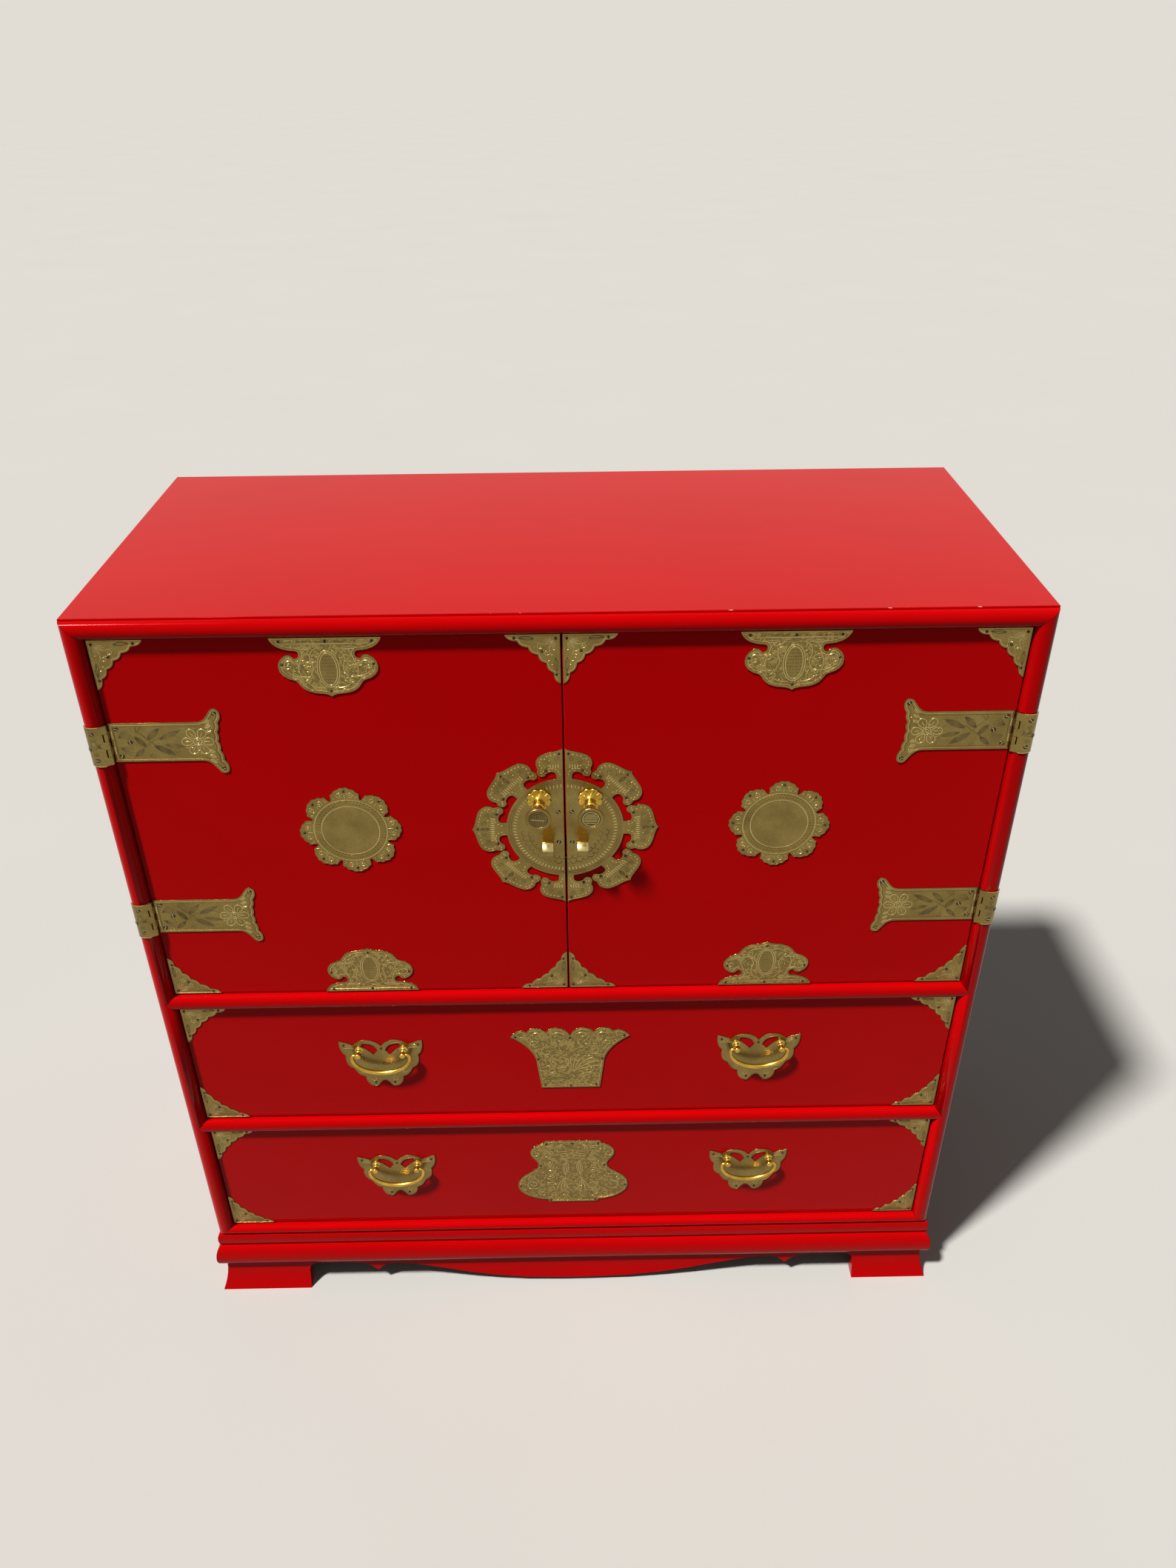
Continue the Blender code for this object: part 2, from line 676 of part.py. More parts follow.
def strap_loop():
    """A long leaf from the barrel to two horns, with a scalloped end between them."""
    half = HINGE_HEIGHT / 2
    start = KNUCKLE_RADIUS + 2 * SEAM
    flare = STRAP_LENGTH - STRAP_FLARE
    horn = (STRAP_LENGTH - HORN_RADIUS, HORN_HALF_HEIGHT - HORN_RADIUS)
    tip = arc(horn, HORN_RADIUS, 150, 0, 6)
    run_in = (tip[0][0] - HORN_RADIUS, tip[0][1] - 1.4 * HORN_RADIUS)
    upper = path((start, half), ((flare, half),), ((flare + STRAP_FLARE * 0.35, half), run_in, tip[0]))
    upper += tip[1:]
    lobes, steps = 6, 3
    end = []
    for i in range(1, lobes * steps):
        t = i / (lobes * steps)
        hollow = STRAP_HOLLOW * (1 - (2 * t - 1) ** 2)
        out = STRAP_SCALLOP * abs(math.sin(math.pi * lobes * t))
        end.append((STRAP_LENGTH - hollow + out, horn[1] * (1 - 2 * t)))
    return upper + end + scaled(upper, 1, -1)[::-1]


def strap(name, side, at, door):
    mesh = extrusion(name, [scaled(strap_loop(), -side)], HINGE_LEAF)
    sheet_y = FACE_Y - SEAM - HINGE_LEAF / 2
    leaf = part(name, mesh, BRASS, door, (at[0], sheet_y, at[2]), UPRIGHT)
    loop = knuckle_loop(KNUCKLE_RADIUS + 8 * SEAM)
    add_knuckles(leaf, scaled(loop, -side), 1, door, at)


# Door brass. Outlines are drawn in shares of a plate's half width and drop, then scaled.


def cloud_loop():
    """A plate hanging from a straight edge: wings, C-shaped notches, round lobes and an ogee to a point."""
    half = path(
        (1, 0),
        ((0.96, -0.13), (0.80, -0.21), (0.55, -0.217)),
        ((0.48, -0.23), (0.48, -0.35), (0.595, -0.35)),
        ((0.64, -0.28), (0.70, -0.275), (0.76, -0.30)),
        ((0.97, -0.40), (0.96, -0.66), (0.63, -0.72)),
        ((0.54, -0.76), (0.56, -0.88), (0.33, -0.93)),
        ((0.22, -0.955), (0.08, -0.935), (0, -1)),
    )
    return symmetric(scaled(half, CLOUD_HALF_WIDTH, CLOUD_DROP))


def medallion_loop():
    """Eight petals round a disc, one of them upright, with a narrow notch between each pair."""
    petals, steps = 8, 10
    points = []
    for i in range(petals * steps):
        across = abs((i % steps) / steps * 2 - 1)
        radius = MEDALLION_SHOULDER + (MEDALLION_RADIUS - MEDALLION_SHOULDER) * (1 - across**1.7)
        if across == 1:
            radius = MEDALLION_NOTCH
        angle = math.radians(90) + math.pi * (2 * i / steps - 1) / petals
        points.append((radius * math.cos(angle), radius * math.sin(angle)))
    return points


def lobe_half():
    """Right half of a roundel lobe, from its neck to its tip. Y is the distance from the roundel's middle."""
    half = path(
        (0.273, 0.118),
        ((0.30, 0.26), (0.52, 0.24), (0.63, 0.164)),
        ((0.66, 0.03), (0.94, 0.02), (0.955, 0.211)),
        ((0.918, 0.341),),
        ((1.03, 0.449), (1.015, 0.669), (0.788, 0.779)),
        ((0.485, 0.902), (0.182, 0.877), (0, 1)),
        steps=4,
    )
    half = shifted(scaled(half, LOBE_HALF_WIDTH, ROUNDEL_RADIUS - ROUNDEL_DISC), 0, ROUNDEL_DISC)
    return [(LOBE_NECK, math.sqrt(ROUNDEL_DISC**2 - LOBE_NECK**2))] + half


def roundel_loop(side):
    """Half of a lock plate: half a disc with lobes every 45 degrees, the end ones split by the gap."""
    half = lobe_half()
    whole = half[:-1] + scaled(half, -1)[::-1]
    neck = math.degrees(math.asin(LOBE_NECK / ROUNDEL_DISC))
    points = scaled(half, 1, -1)[::-1]
    for angle in (-90, -45, 0, 45):
        points += arc((0, 0), ROUNDEL_DISC, angle + neck, angle + 45 - neck, 4)[1:-1]
        points += turned(whole, math.radians(angle - 45)) if angle < 45 else half
    edge = DOOR_GAP / 2 + PLATE_MARGIN
    return [(side * max(x, edge), y) for x, y in points]


def staple_mesh():
    """A strip bent out of the plate and back to it, as an eye for a lock's bolt. Y is up and X out."""
    bend = STAPLE_HEIGHT / 2
    hollow = bend - STAPLE_STRIP
    centre = (STAPLE_REACH - bend, 0)
    outside = [(-PLATE, bend)] + arc(centre, bend, 90, -90, 10) + [(-PLATE, -bend)]
    inside = [(-PLATE, -hollow)] + arc(centre, hollow, -90, 90, 10) + [(-PLATE, hollow)]
    return extrusion("staple", [outside + inside], STAPLE_WIDTH)


def knob_profile():
    """A bud-shaped base, a thin neck with a collar and a flat round face, from the face down."""
    disc, foot, neck = KNOB_DISC_RADIUS, KNOB_BASE_RADIUS, KNOB_NECK_RADIUS
    profile = [
        (0, 1), (disc * 0.84, 1), (disc * 0.95, 0.986), (disc, 0.96), (disc, 0.905), (disc * 0.9, 0.873),
        (neck * 1.9, 0.795), (neck * 1.15, 0.68), (neck * 1.4, 0.65), (neck * 1.4, 0.595), (neck, 0.565),
        (neck, 0.43), (neck * 1.35, 0.34), (foot * 0.62, 0.25), (foot * 0.9, 0.148), (foot, 0.057), (foot, 0), (0, 0),
    ]
    return scaled(profile, 1, KNOB_LENGTH)


# Drawer brass


def butterfly_loops():
    """A butterfly plate, level with its wing tips at Y 0, and the opening under each feeler."""
    outer = path(
        (0, -0.124),
        ((0.08, -0.03), (0.20, 0.015), (0.36, 0.012)),
        ((0.50, 0.010), (0.60, -0.03), (0.667, -0.094)),
        ((0.76, -0.05), (0.87, -0.03), (1, 0)),
        ((1.02, -0.13), (0.98, -0.25), (0.874, -0.318)),
        ((0.91, -0.43), (0.87, -0.55), (0.72, -0.596)),
        ((0.66, -0.65), (0.63, -0.76), (0.46, -0.784)),
        ((0.47, -0.90), (0.36, -1), (0.235, -1)),
        ((0.14, -1), (0.11, -0.86), (0, -0.864)),
        steps=4,
    )
    hole = path(
        (0.094, -0.206),
        ((0.13, -0.10), (0.27, -0.05), (0.468, -0.059)),
        ((0.45, -0.088),),
        ((0.486, -0.118),),
        ((0.35, -0.18), (0.27, -0.25), (0.198, -0.30)),
        steps=4,
    )
    loops = [symmetric(outer), hole, scaled(hole, -1)]
    return [scaled(loop, PULL_HALF_WIDTH, PULL_DROP) for loop in loops]


def post_profile():
    """A ring-turned post, from its end down to the inside of the plate."""
    r, top = POST_RADIUS, POST_LENGTH
    ring = BAIL_AXIS_OUT - 2.3 * BAIL_PIN_RADIUS
    return [
        (0, top), (r * 0.7, top), (r, top * 0.92), (r, ring), (r * 0.72, ring * 0.8), (r * 0.95, ring * 0.6),
        (r * 0.95, ring * 0.4), (r * 0.8, ring * 0.26), (r * 1.2, -PLATE / 2), (0, -PLATE / 2),
    ]


def pull_mesh(root):
    """The plate with both posts, bored for the ends of the bail."""
    plate = part("pull", extrusion("pull", butterfly_loops(), PLATE), BRASS, root, (0, 0, 0))
    tools = []
    for side in (-1, 1):
        post = turned_mesh("post", post_profile(), 10)
        at = (side * POST_HALF_SPAN, -POST_BELOW_TIP, PLATE / 2)
        tools.append(cutter(f"post_{side}", post, root, at))
        boolean(plate, tools[-1], "UNION")
    for side in (-1, 1):
        bore = rod_mesh("bail_bore", BAIL_PIN_RADIUS + BORE_CLEARANCE, 4 * POST_RADIUS, 8)
        at = (side * POST_HALF_SPAN, -POST_BELOW_TIP, PLATE / 2 + BAIL_AXIS_OUT)
        tools.append(cutter(f"bail_bore_{side}", bore, root, at, (0, math.pi / 2, 0)))
        boolean(plate, tools[-1], "DIFFERENCE")
    mesh = welded(plate)
    for tool in tools:
        bpy.data.objects.remove(tool)
    mesh.materials.append(BRASS)
    return mesh


def bail_curve():
    """A crescent handle, thicker in the middle, whose ends turn inwards to the posts. Its axis is X."""
    half, bend = POST_HALF_SPAN + BAIL_OVERHANG, BAIL_BEND
    pin = BAIL_PIN_RADIUS / BAIL_MIDDLE_RADIUS
    shoulder = 0.75
    right = [(POST_HALF_SPAN - POST_RADIUS / 2, 0, pin), (POST_HALF_SPAN + POST_RADIUS, 0, pin)]
    right += [(half - bend * 0.67, 0, pin * 1.2), (half - bend * 0.13, -bend * 0.37, pin * 1.4)]
    for x, z in arc((0, -bend), (half, BAIL_DROP - bend), 0, -90, 7):
        right.append((x, z, 1 - (1 - shoulder) * x / half))
    left = [(-x, z, r) for x, z, r in reversed(right[:-1])]
    curve = bpy.data.curves.new("bail", "CURVE")
    curve.dimensions = "3D"
    curve.bevel_depth = BAIL_MIDDLE_RADIUS
    curve.bevel_resolution = 2
    curve.use_fill_caps = True
    spline = curve.splines.new("POLY")
    spline.points.add(len(right + left) - 1)
    for point, (x, z, radius) in zip(spline.points, right + left):
        point.co = (x, 0, z, 1)
        point.radius = radius
    spline.use_smooth = True
    curve.materials.append(BRASS)
    return curve


def crown_loop():
    """A plate with a scalloped crown, flared tips at Y 0, hollow sides and a straight foot."""
    half = path(
        (0, 0.016),
        ((0.075, 0.19), (0.31, 0.20), (0.40, 0.078)),
        ((0.44, 0.155), (0.66, 0.21), (0.722, 0.083)),
        ((0.79, 0.14), (0.90, 0.125), (1, 0)),
        ((0.80, -0.10), (0.63, -0.25), (0.575, -0.44)),
    )
    half = scaled(half, CROWN_HALF_WIDTH, CROWN_DROP)
    return symmetric(half + [(CROWN_FOOT_HALF_WIDTH, -CROWN_DROP)])


def gourd_loop():
    """A gourd-shaped plate with a straight edge at its top, Y 0, and at its foot."""
    upper, waist, lower = GOURD_UPPER_HALF_WIDTH, GOURD_WAIST_HALF_WIDTH, GOURD_LOWER_HALF_WIDTH
    top, foot = GOURD_TOP_HALF_WIDTH, GOURD_FOOT_HALF_WIDTH
    half = path(
        (top, 0),
        ((top + GOURD_STEP, -0.038),),
        ((upper * 0.86, -0.057), (upper, -0.115), (upper, -0.185)),
        ((upper, -0.275), (waist, -0.305), (waist, -0.382)),
        ((waist, -0.50), (lower, -0.52), (lower, -0.718)),
        ((lower, -0.87), (foot * 1.6, -0.955), (foot + GOURD_STEP, -0.962)),
        ((foot, -1),),
    )
    return symmetric(scaled(half, 1, GOURD_DROP))


# Assembly


def door(side, name, case):
    """Side is -1 for the left door and 1 for the right one."""
    axis = (side * HINGE_X, HINGE_Y, Z_DOOR + DOOR_OPENING / 2)
    hinge = pivot(f"{name}_hinge", case, axis)
    xs = sorted((side * DOOR_GAP / 2, side * (HALF_OPENING - DOOR_GAP)))
    zs = (Z_DOOR + DOOR_GAP, Z_DOOR_TOP - DOOR_GAP)
    panel_with_corners(f"{name}_panel", xs, zs, DOOR_THICKNESS, hinge)
    for height, label in ((UPPER_HINGE, "upper"), (LOWER_HINGE, "lower")):
        at = (axis[0], axis[1], Z_DOOR + height)
        frame_leaf(f"{name}_{label}_frame_leaf", side, at, case)
        strap(f"{name}_{label}_strap", side, at, hinge)
        part(f"{name}_{label}_hinge_pin", rod_mesh("hinge_pin", PIN_RADIUS, HINGE_HEIGHT, 10), BRASS, case, at)

    def plate(label, loop, x, z):
        mesh = extrusion(f"{name}_{label}", [loop], PLATE)
        return part(f"{name}_{label}", mesh, BRASS, hinge, (side * x, PLATE_Y, z), UPRIGHT)

    plate("top_cloud", cloud_loop(), MOUNT_X, zs[1] - PLATE_MARGIN)
    plate("bottom_cloud", scaled(cloud_loop(), 1, -1), MOUNT_X, zs[0] + PLATE_MARGIN)
    leaning = turned(medallion_loop(), -side * math.radians(MEDALLION_LEAN))
    plate("medallion", leaning, MOUNT_X, Z_DOOR + MEDALLION_HEIGHT)
    roundel_z = Z_DOOR + ROUNDEL_HEIGHT
    roundel = plate("roundel", roundel_loop(side), 0, roundel_z)
    staple_at = (side * STAPLE_X, PLATE_Y - PLATE / 2, roundel_z - STAPLE_BELOW)
    staple = cutter(f"{name}_staple", staple_mesh(), hinge, staple_at, facing((0, -1, 0), (0, 0, 1)))
    boolean(roundel, staple, "UNION")
    knob_at = (side * KNOB_X, PLATE_Y - PLATE / 2 - SEAM, roundel_z + KNOB_ABOVE)
    part(f"{name}_knob", turned_mesh(f"{name}_knob", knob_profile(), 16), BRASS, hinge, knob_at, UPRIGHT)


def drawer(name, low_z, opening, tip_below, pull, loop, plate_below, case):
    """A box drawer running on the board under it, with a plate in the middle and two bail pulls."""
    slide = pivot(f"{name}_slide", case, (0, FACE_Y, low_z + opening / 2))
    half = HALF_OPENING - DOOR_GAP
    top = low_z + opening
    front_zs = (low_z + RUNNER_PROUD + DOOR_GAP, top - DOOR_GAP)
    panel_with_corners(f"{name}_front", (-half, half), front_zs, FRONT_THICKNESS, slide)
    start = FACE_Y + FRONT_THICKNESS + SEAM
    end = BACK_Y - BACK_THICKNESS - DRAWER_BACK_GAP
    outer = HALF_OPENING - DRAWER_SIDE_GAP
    inner = outer - DRAWER_SIDE
    box_zs = (low_z + RUNNER_PROUD + SEAM, top - SIDE_DROP)
    for side, label in ((-1, "left"), (1, "right")):
        xs = sorted((side * inner, side * outer))
        board(f"{name}_{label}_side", xs, (start, end), box_zs, INNER_WOOD, slide)
    between = (-inner + SEAM, inner - SEAM)
    back = end - DRAWER_SIDE
    board(f"{name}_back", between, (back, end), box_zs, INNER_WOOD, slide)
    floor = box_zs[0] + BOTTOM_RAISE
    board(f"{name}_bottom", between, (start, back - SEAM), (floor, floor + DRAWER_BOTTOM), INNER_WOOD, slide)

    mesh = extrusion(f"{name}_plate", [loop], PLATE)
    part(f"{name}_plate", mesh, BRASS, slide, (0, PLATE_Y, top - plate_below), UPRIGHT)
    for side, label in ((-1, "left"), (1, "right")):
        tip_z = top - tip_below
        part(f"{name}_{label}_pull", pull, BRASS, slide, (side * MOUNT_X, PLATE_Y, tip_z), UPRIGHT)
        at = (side * MOUNT_X, BAIL_AXIS_Y, tip_z - POST_BELOW_TIP)
        bail = bpy.data.objects.new(f"{name}_{label}_bail", bail_curve())
        PARTS.objects.link(bail)
        mount(bail, slide, at)


def chest():
    root = bpy.data.objects.new("chest_frame", None)
    PARTS.objects.link(root)
    case_boards(root)
    top_panel(root)
    stile(-1, "left_stile", root)
    stile(1, "right_stile", root)
    level_rail("top_rail", Z_DOOR_TOP, TOP_RAIL, 1, root)
    level_rail("bottom_rail", Z_CASE, BOTTOM_RAIL, -1, root)
    rail_board("door_bay_floor", Z_UPPER_TOP, root)
    rail_board("drawer_divider", Z_LOWER_TOP, root)
    base_front(root)
    base_flank("base_left", -1, root)
    base_flank("base_right", 1, root)
    base_back(root)
    door(-1, "left_door", root)
    door(1, "right_door", root)
    pull = pull_mesh(root)
    drawer(
        "upper_drawer", Z_UPPER, UPPER_DRAWER_OPENING, PULL_TIP_BELOW, pull, crown_loop(), CROWN_TIP_BELOW, root
    )
    drawer(
        "lower_drawer", Z_LOWER, LOWER_DRAWER_OPENING, LOWER_PULL_TIP_BELOW, pull, gourd_loop(),
        GOURD_TOP_BELOW, root,
    )


chest()
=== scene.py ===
"""Red lacquer chest with brass mounts: its boards, mouldings, chased plates, hinges, knobs and pulls.

Metres, +Z up, front towards -Y. Plates are drawn in millimetres from a point on the chest,
X across and Y up.
"""

import json
import math
import random

import bmesh
import bpy
from mathutils import Matrix, Vector


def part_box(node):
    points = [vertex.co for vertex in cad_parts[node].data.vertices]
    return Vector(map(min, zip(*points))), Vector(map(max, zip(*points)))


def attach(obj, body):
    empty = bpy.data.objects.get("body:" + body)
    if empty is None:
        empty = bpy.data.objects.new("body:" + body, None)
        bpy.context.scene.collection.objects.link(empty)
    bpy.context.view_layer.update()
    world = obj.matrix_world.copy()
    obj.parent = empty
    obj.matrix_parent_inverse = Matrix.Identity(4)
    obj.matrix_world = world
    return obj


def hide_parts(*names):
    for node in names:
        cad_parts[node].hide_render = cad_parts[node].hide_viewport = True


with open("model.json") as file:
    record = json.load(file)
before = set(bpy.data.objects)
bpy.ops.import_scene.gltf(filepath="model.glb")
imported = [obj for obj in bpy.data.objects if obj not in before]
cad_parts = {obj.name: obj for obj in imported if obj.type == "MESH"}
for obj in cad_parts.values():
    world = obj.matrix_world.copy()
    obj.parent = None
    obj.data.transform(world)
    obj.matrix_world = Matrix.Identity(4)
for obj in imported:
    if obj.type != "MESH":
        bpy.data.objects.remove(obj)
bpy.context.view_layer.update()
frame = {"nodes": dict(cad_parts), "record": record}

MM = 0.001
SIDES = (("left", -1), ("right", 1))
DRAWERS = ("upper", "lower")
SHARP = math.radians(35)
BOARD_EDGE = 0.0009

# Y and Z of the top's front edge
TOP_EDGE = (-0.2123, 1.126)

# Depths of the plates: the panels behind them, their fronts, and their sheet, sunk behind its rim
CORNER_RELIEF = 0.0010
FACE_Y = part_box("left_door_panel")[0].y + CORNER_RELIEF
PLATE_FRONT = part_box("left_door_medallion")[0].y
SUNK = 0.3 * MM
SHEET_FRONT = PLATE_FRONT + SUNK

# Hinges: the places of their axes, and their sizes in millimetres
HINGE_X = 0.512
HINGE_Y = -0.2146
HINGE_LEVELS = (("upper", 0.973), ("lower", 0.7235))
HINGE_HALF = 25
KNUCKLE = 10
KNUCKLE_RADIUS = 3.4

# The bent frame leaf seen from above, in millimetres from the hinge's axis: an arc between two ellipses
LEAF_CENTRE = (10.25, -2.3)
LEAF_OUTER = (12.05, 9.3)
LEAF_INNER = (11.05, 8.3)
LEAF_ENDS = (119.2, 12)

# Places of the mounts on the front
MOUNT_X = 0.254
LOCK_Z = 0.847
KNOB_X = 0.030
KNOB_Z = LOCK_Z + 0.042
STAPLE_X = 0.0205
STAPLE_Z = LOCK_Z - 0.014
MEDALLION_Z = 0.8483
PULL_TIPS = {"upper": 0.5065, "lower": 0.2785}
BAIL_Y = -0.2214
CROWN_TIPS_Z = 0.5087
GOURD_TOP_Z = 0.304

# Posts of a pull, in millimetres from its middle and below its wing tips
POST_X = 29.8
POST_DROP = 16.5

# Disc and lobe necks of the lock plate, and the gap between its halves, in millimetres
DISC_RADIUS = 69.7
NECK_HALF = 9
GAP_HALF = 1.45


# Materials


def linear(code):
    """Linear colour of an sRGB hex code."""
    channels = [int(code[i : i + 2], 16) / 255 for i in (0, 2, 4)]
    return (*[c / 12.92 if c <= 0.04045 else ((c + 0.055) / 1.055) ** 2.4 for c in channels], 1)


def add(tree, kind, feeds=None, **settings):
    """Adds a shader node. Feeds give sockets, by name or number, a value or the socket that drives them."""
    node = tree.nodes.new("ShaderNode" + kind)
    for key, value in settings.items():
        setattr(node, key, value)
    for socket, value in (feeds or {}).items():
        if isinstance(value, bpy.types.NodeSocket):
            tree.links.new(value, node.inputs[socket])
        else:
            node.inputs[socket].default_value = value
    return node


def noise(tree, at, size, detail, distortion=0.0):
    """Noise whose features are about size millimetres across."""
    feeds = {"Vector": at, "Scale": 1 / (size * MM), "Detail": detail, "Distortion": distortion}
    return add(tree, "TexNoise", feeds).outputs["Fac"]


def blend(tree, share, first, second):
    """A colour between two, each a hex code, a linear colour or a socket."""
    first, second = [linear(end) if isinstance(end, str) else end for end in (first, second)]
    return add(tree, "Mix", {0: share, 6: first, 7: second}, data_type="RGBA").outputs[2]


def spread(tree, value, low, high, to_low=0.0, to_high=1.0, **settings):
    """A value carried from one range to another and held inside it."""
    feeds = {0: value, 1: low, 2: high, 3: to_low, 4: to_high}
    return add(tree, "MapRange", feeds, **settings).outputs[0]


def finish(name, values):
    """A new material with even shader values, its tree and the Object coordinates that its patterns read."""
    made = bpy.data.materials.new(name)
    made.use_nodes = True
    tree = made.node_tree
    for socket, value in values.items():
        tree.nodes["Principled BSDF"].inputs[socket].default_value = value
    return made, tree, add(tree, "TexCoord").outputs["Object"]


def dress(made, colour, roughness=None, height=None, strength=0.0, distance=0.0):
    """Gives a material its colour and, where they vary, a roughness and a relief, its distance in metres."""
    tree = made.node_tree
    feeds = {"Base Color": colour}
    if roughness is not None:
        feeds["Roughness"] = roughness
    if height is not None:
        relief = add(tree, "Bump", {"Height": height, "Strength": strength, "Distance": distance})
        feeds["Normal"] = relief.outputs[0]
    for socket, source in feeds.items():
        tree.links.new(source, tree.nodes["Principled BSDF"].inputs[socket])
    return made


def red_lacquer():
    """Red lacquer rubbed to a gloss: deep red, slow clouds, faint orange peel, pale nicks on the top edge."""
    values = {"Specular IOR Level": 0.10, "Specular Tint": linear("FF5A5A")}
    made, tree, at = finish("red_lacquer", values)
    red = blend(tree, noise(tree, at, 240, 3.0), "9F0103", "A90204")
    # The nicks bite deeper towards the right of the edge
    section = add(tree, "VectorMath", {0: at, 1: (0, 1, 1)}, operation="MULTIPLY").outputs[0]
    from_edge = add(tree, "VectorMath", {0: section, 1: (0, *TOP_EDGE)}, operation="DISTANCE")
    across = add(tree, "SeparateXYZ", {0: at}).outputs["X"]
    deepest = spread(tree, across, -0.1, 0.3, 0.0005, 0.0022)
    bite = spread(tree, noise(tree, at, 11, 4.0), 0.61, 0.80, 0.0, deepest)
    nicked = add(tree, "Math", {0: from_edge.outputs["Value"], 1: bite}, operation="LESS_THAN").outputs[0]
    worn = blend(tree, nicked, red, "CC8B7C")
    gloss = spread(tree, noise(tree, at, 70, 5.0), 0.35, 0.7, 0.08, 0.15)
    return dress(made, worn, gloss, noise(tree, at, 3.5, 1.0), 0.05, 0.0004)


def planished_brass():
    """Sheet brass hammered flat, dulled by handling: grey-gold, browner in patches, with fine tool marks."""
    made, tree, at = finish("planished_sheet_brass", {"Metallic": 1.0})
    tarnish, marks = noise(tree, at, 30, 4.0), noise(tree, at, 1.8, 3.0)
    gold = blend(tree, spread(tree, tarnish, 0.32, 0.70), "95824B", "7F6C3C")
    aged = blend(tree, spread(tree, marks, 0.50, 0.34, 0.0, 0.32), gold, "64552F")
    return dress(made, aged, spread(tree, tarnish, 0.3, 0.7, 0.22, 0.36), marks, 0.5, 0.0006)


def chased_brass():
    """Sheet brass chased all over with scrollwork: raised parts rubbed to gold, brown in the hollows."""
    made, tree, at = finish("chased_sheet_brass", {"Metallic": 1.0, "Roughness": 0.30})
    swirls, marks = noise(tree, at, 10, 2.0, 2.4), noise(tree, at, 2.4, 3.0)
    raised = spread(tree, swirls, 0.42, 0.58, interpolation_type="SMOOTHSTEP")
    gold = blend(tree, raised, "806F3F", "A39056")
    aged = blend(tree, spread(tree, marks, 0.50, 0.34, 0.0, 0.40), gold, "5E4F2B")
    height = add(tree, "Math", {0: marks, 1: 0.4, 2: raised}, operation="MULTIPLY_ADD").outputs[0]
    return dress(made, aged, None, height, 0.7, 0.0008)


def rim_brass():
    """Brass edges and ridges rubbed by hands and cloths: paler and smoother than the sheet around them. On
    the staple's upper faces, the knob's edge and the crests of chased lines this paler colour is also a
    painted highlight.
    """
    made, tree, at = finish("rubbed_brass_and_painted_highlight", {"Metallic": 1.0})
    tarnish = noise(tree, at, 22, 4.0)
    gold = blend(tree, tarnish, "D6C489", "AF9C62")
    return dress(made, gold, spread(tree, tarnish, 0.3, 0.7, 0.20, 0.34))


def cast_brass():
    """Cast brass of the knobs, posts and bails: deep yellow from handling, browner where fingers miss it. On
    the staple's top it is also a painted highlight.
    """
    made, tree, at = finish("polished_cast_brass", {"Metallic": 1.0})
    tarnish = noise(tree, at, 14, 4.0)
    gold = blend(tree, spread(tree, tarnish, 0.35, 0.72), "D9B44E", "A98733")
    return dress(made, gold, spread(tree, tarnish, 0.3, 0.7, 0.19, 0.34))


def mottled(name, size, dark, pale, metallic, roughness):
    """A dark finish, paler in patches of about size millimetres."""
    made, tree, at = finish(name, {"Metallic": metallic, "Roughness": roughness})
    return dress(made, blend(tree, noise(tree, at, size, 3.0), dark, pale))


def plain_wood(name, stretch):
    """Planed softwood left bare: pale brown with long darker grain along the board and fine pores."""
    made, tree, at = finish(name, {"Roughness": 0.62})
    along = add(tree, "Mapping", {"Vector": at, "Scale": stretch}).outputs[0]
    grain = noise(tree, along, 9, 5.0, 0.6)
    pale = blend(tree, noise(tree, along, 60, 2.0), "C29C68", "AE8654")
    wood = blend(tree, spread(tree, grain, 0.52, 0.72, 0.0, 0.55), pale, "7E5A32")
    return dress(made, wood, None, grain, 0.25, 0.0006)


LACQUER = red_lacquer()
RIM = rim_brass()
CAST = cast_brass()
WOOD = plain_wood("planed_softwood", (0.06, 1, 1))
SIDE_WOOD = plain_wood("planed_softwood_of_the_sides", (1, 0.06, 1))

# Old wax and oxide left in chased lines: dark brown, hardly shining, uneven where it was rubbed out
PATINA = mottled("engraved_patina", 9, "2E2512", "7A6939", 0.6, 0.45)

# Small forged nails and screws: nearly black, with brown rust in patches
IRON = mottled("blackened_iron", 2.5, "1E1B17", "4A3D2C", 0.8, 0.42)

# The finishes of every brass mount, and their places in its list
BRASSES = (planished_brass(), RIM, PATINA, IRON, CAST, chased_brass())
PLAIN, RUBBED_AND_HIGHLIGHT, DARK, NAILS, BRIGHT, WORKED = range(len(BRASSES))


# Lines and outlines, in millimetres


def arc(centre, radius, start, end, steps=12):
    """Points along an arc in degrees. A pair of radii makes it an ellipse."""
    rx, ry = radius if isinstance(radius, tuple) else (radius, radius)
    angles = [math.radians(start + (end - start) * i / steps) for i in range(steps + 1)]
    return [(centre[0] + rx * math.cos(a), centre[1] + ry * math.sin(a)) for a in angles]


def path(start, *segments, steps=9):
    """Points from start along cubics, given as two bends and an end, and straight lines, as an end alone."""
    points = [start]
    for *bends, end in segments:
        if not bends:
            points.append(end)
            continue
        ends = (points[-1], *bends, end)
        for i in range(1, steps + 1):
            t = i / steps
            shares = ((1 - t) ** 3, 3 * (1 - t) ** 2 * t, 3 * (1 - t) * t * t, t**3)
            points.append(tuple(sum(s * p[k] for s, p in zip(shares, ends)) for k in (0, 1)))
    return points


def scaled(points, sx=1.0, sy=1.0):
    return [(sx * x, sy * y) for x, y in points]


def shifted(points, dx, dy):
    return [(x + dx, y + dy) for x, y in points]


def turned(points, degrees):
    c, s = math.cos(math.radians(degrees)), math.sin(math.radians(degrees))
    return [(c * x - s * y, s * x + c * y) for x, y in points]


def symmetric(right_half):
    """A closed outline from its right half, which runs from one end of the axis to the other."""
    return right_half + [(-x, y) for x, y in reversed(right_half) if x > 0.3]


def mirrored(points):
    """Points and their mirror images in the Y axis."""
    return points + scaled(points, -1)


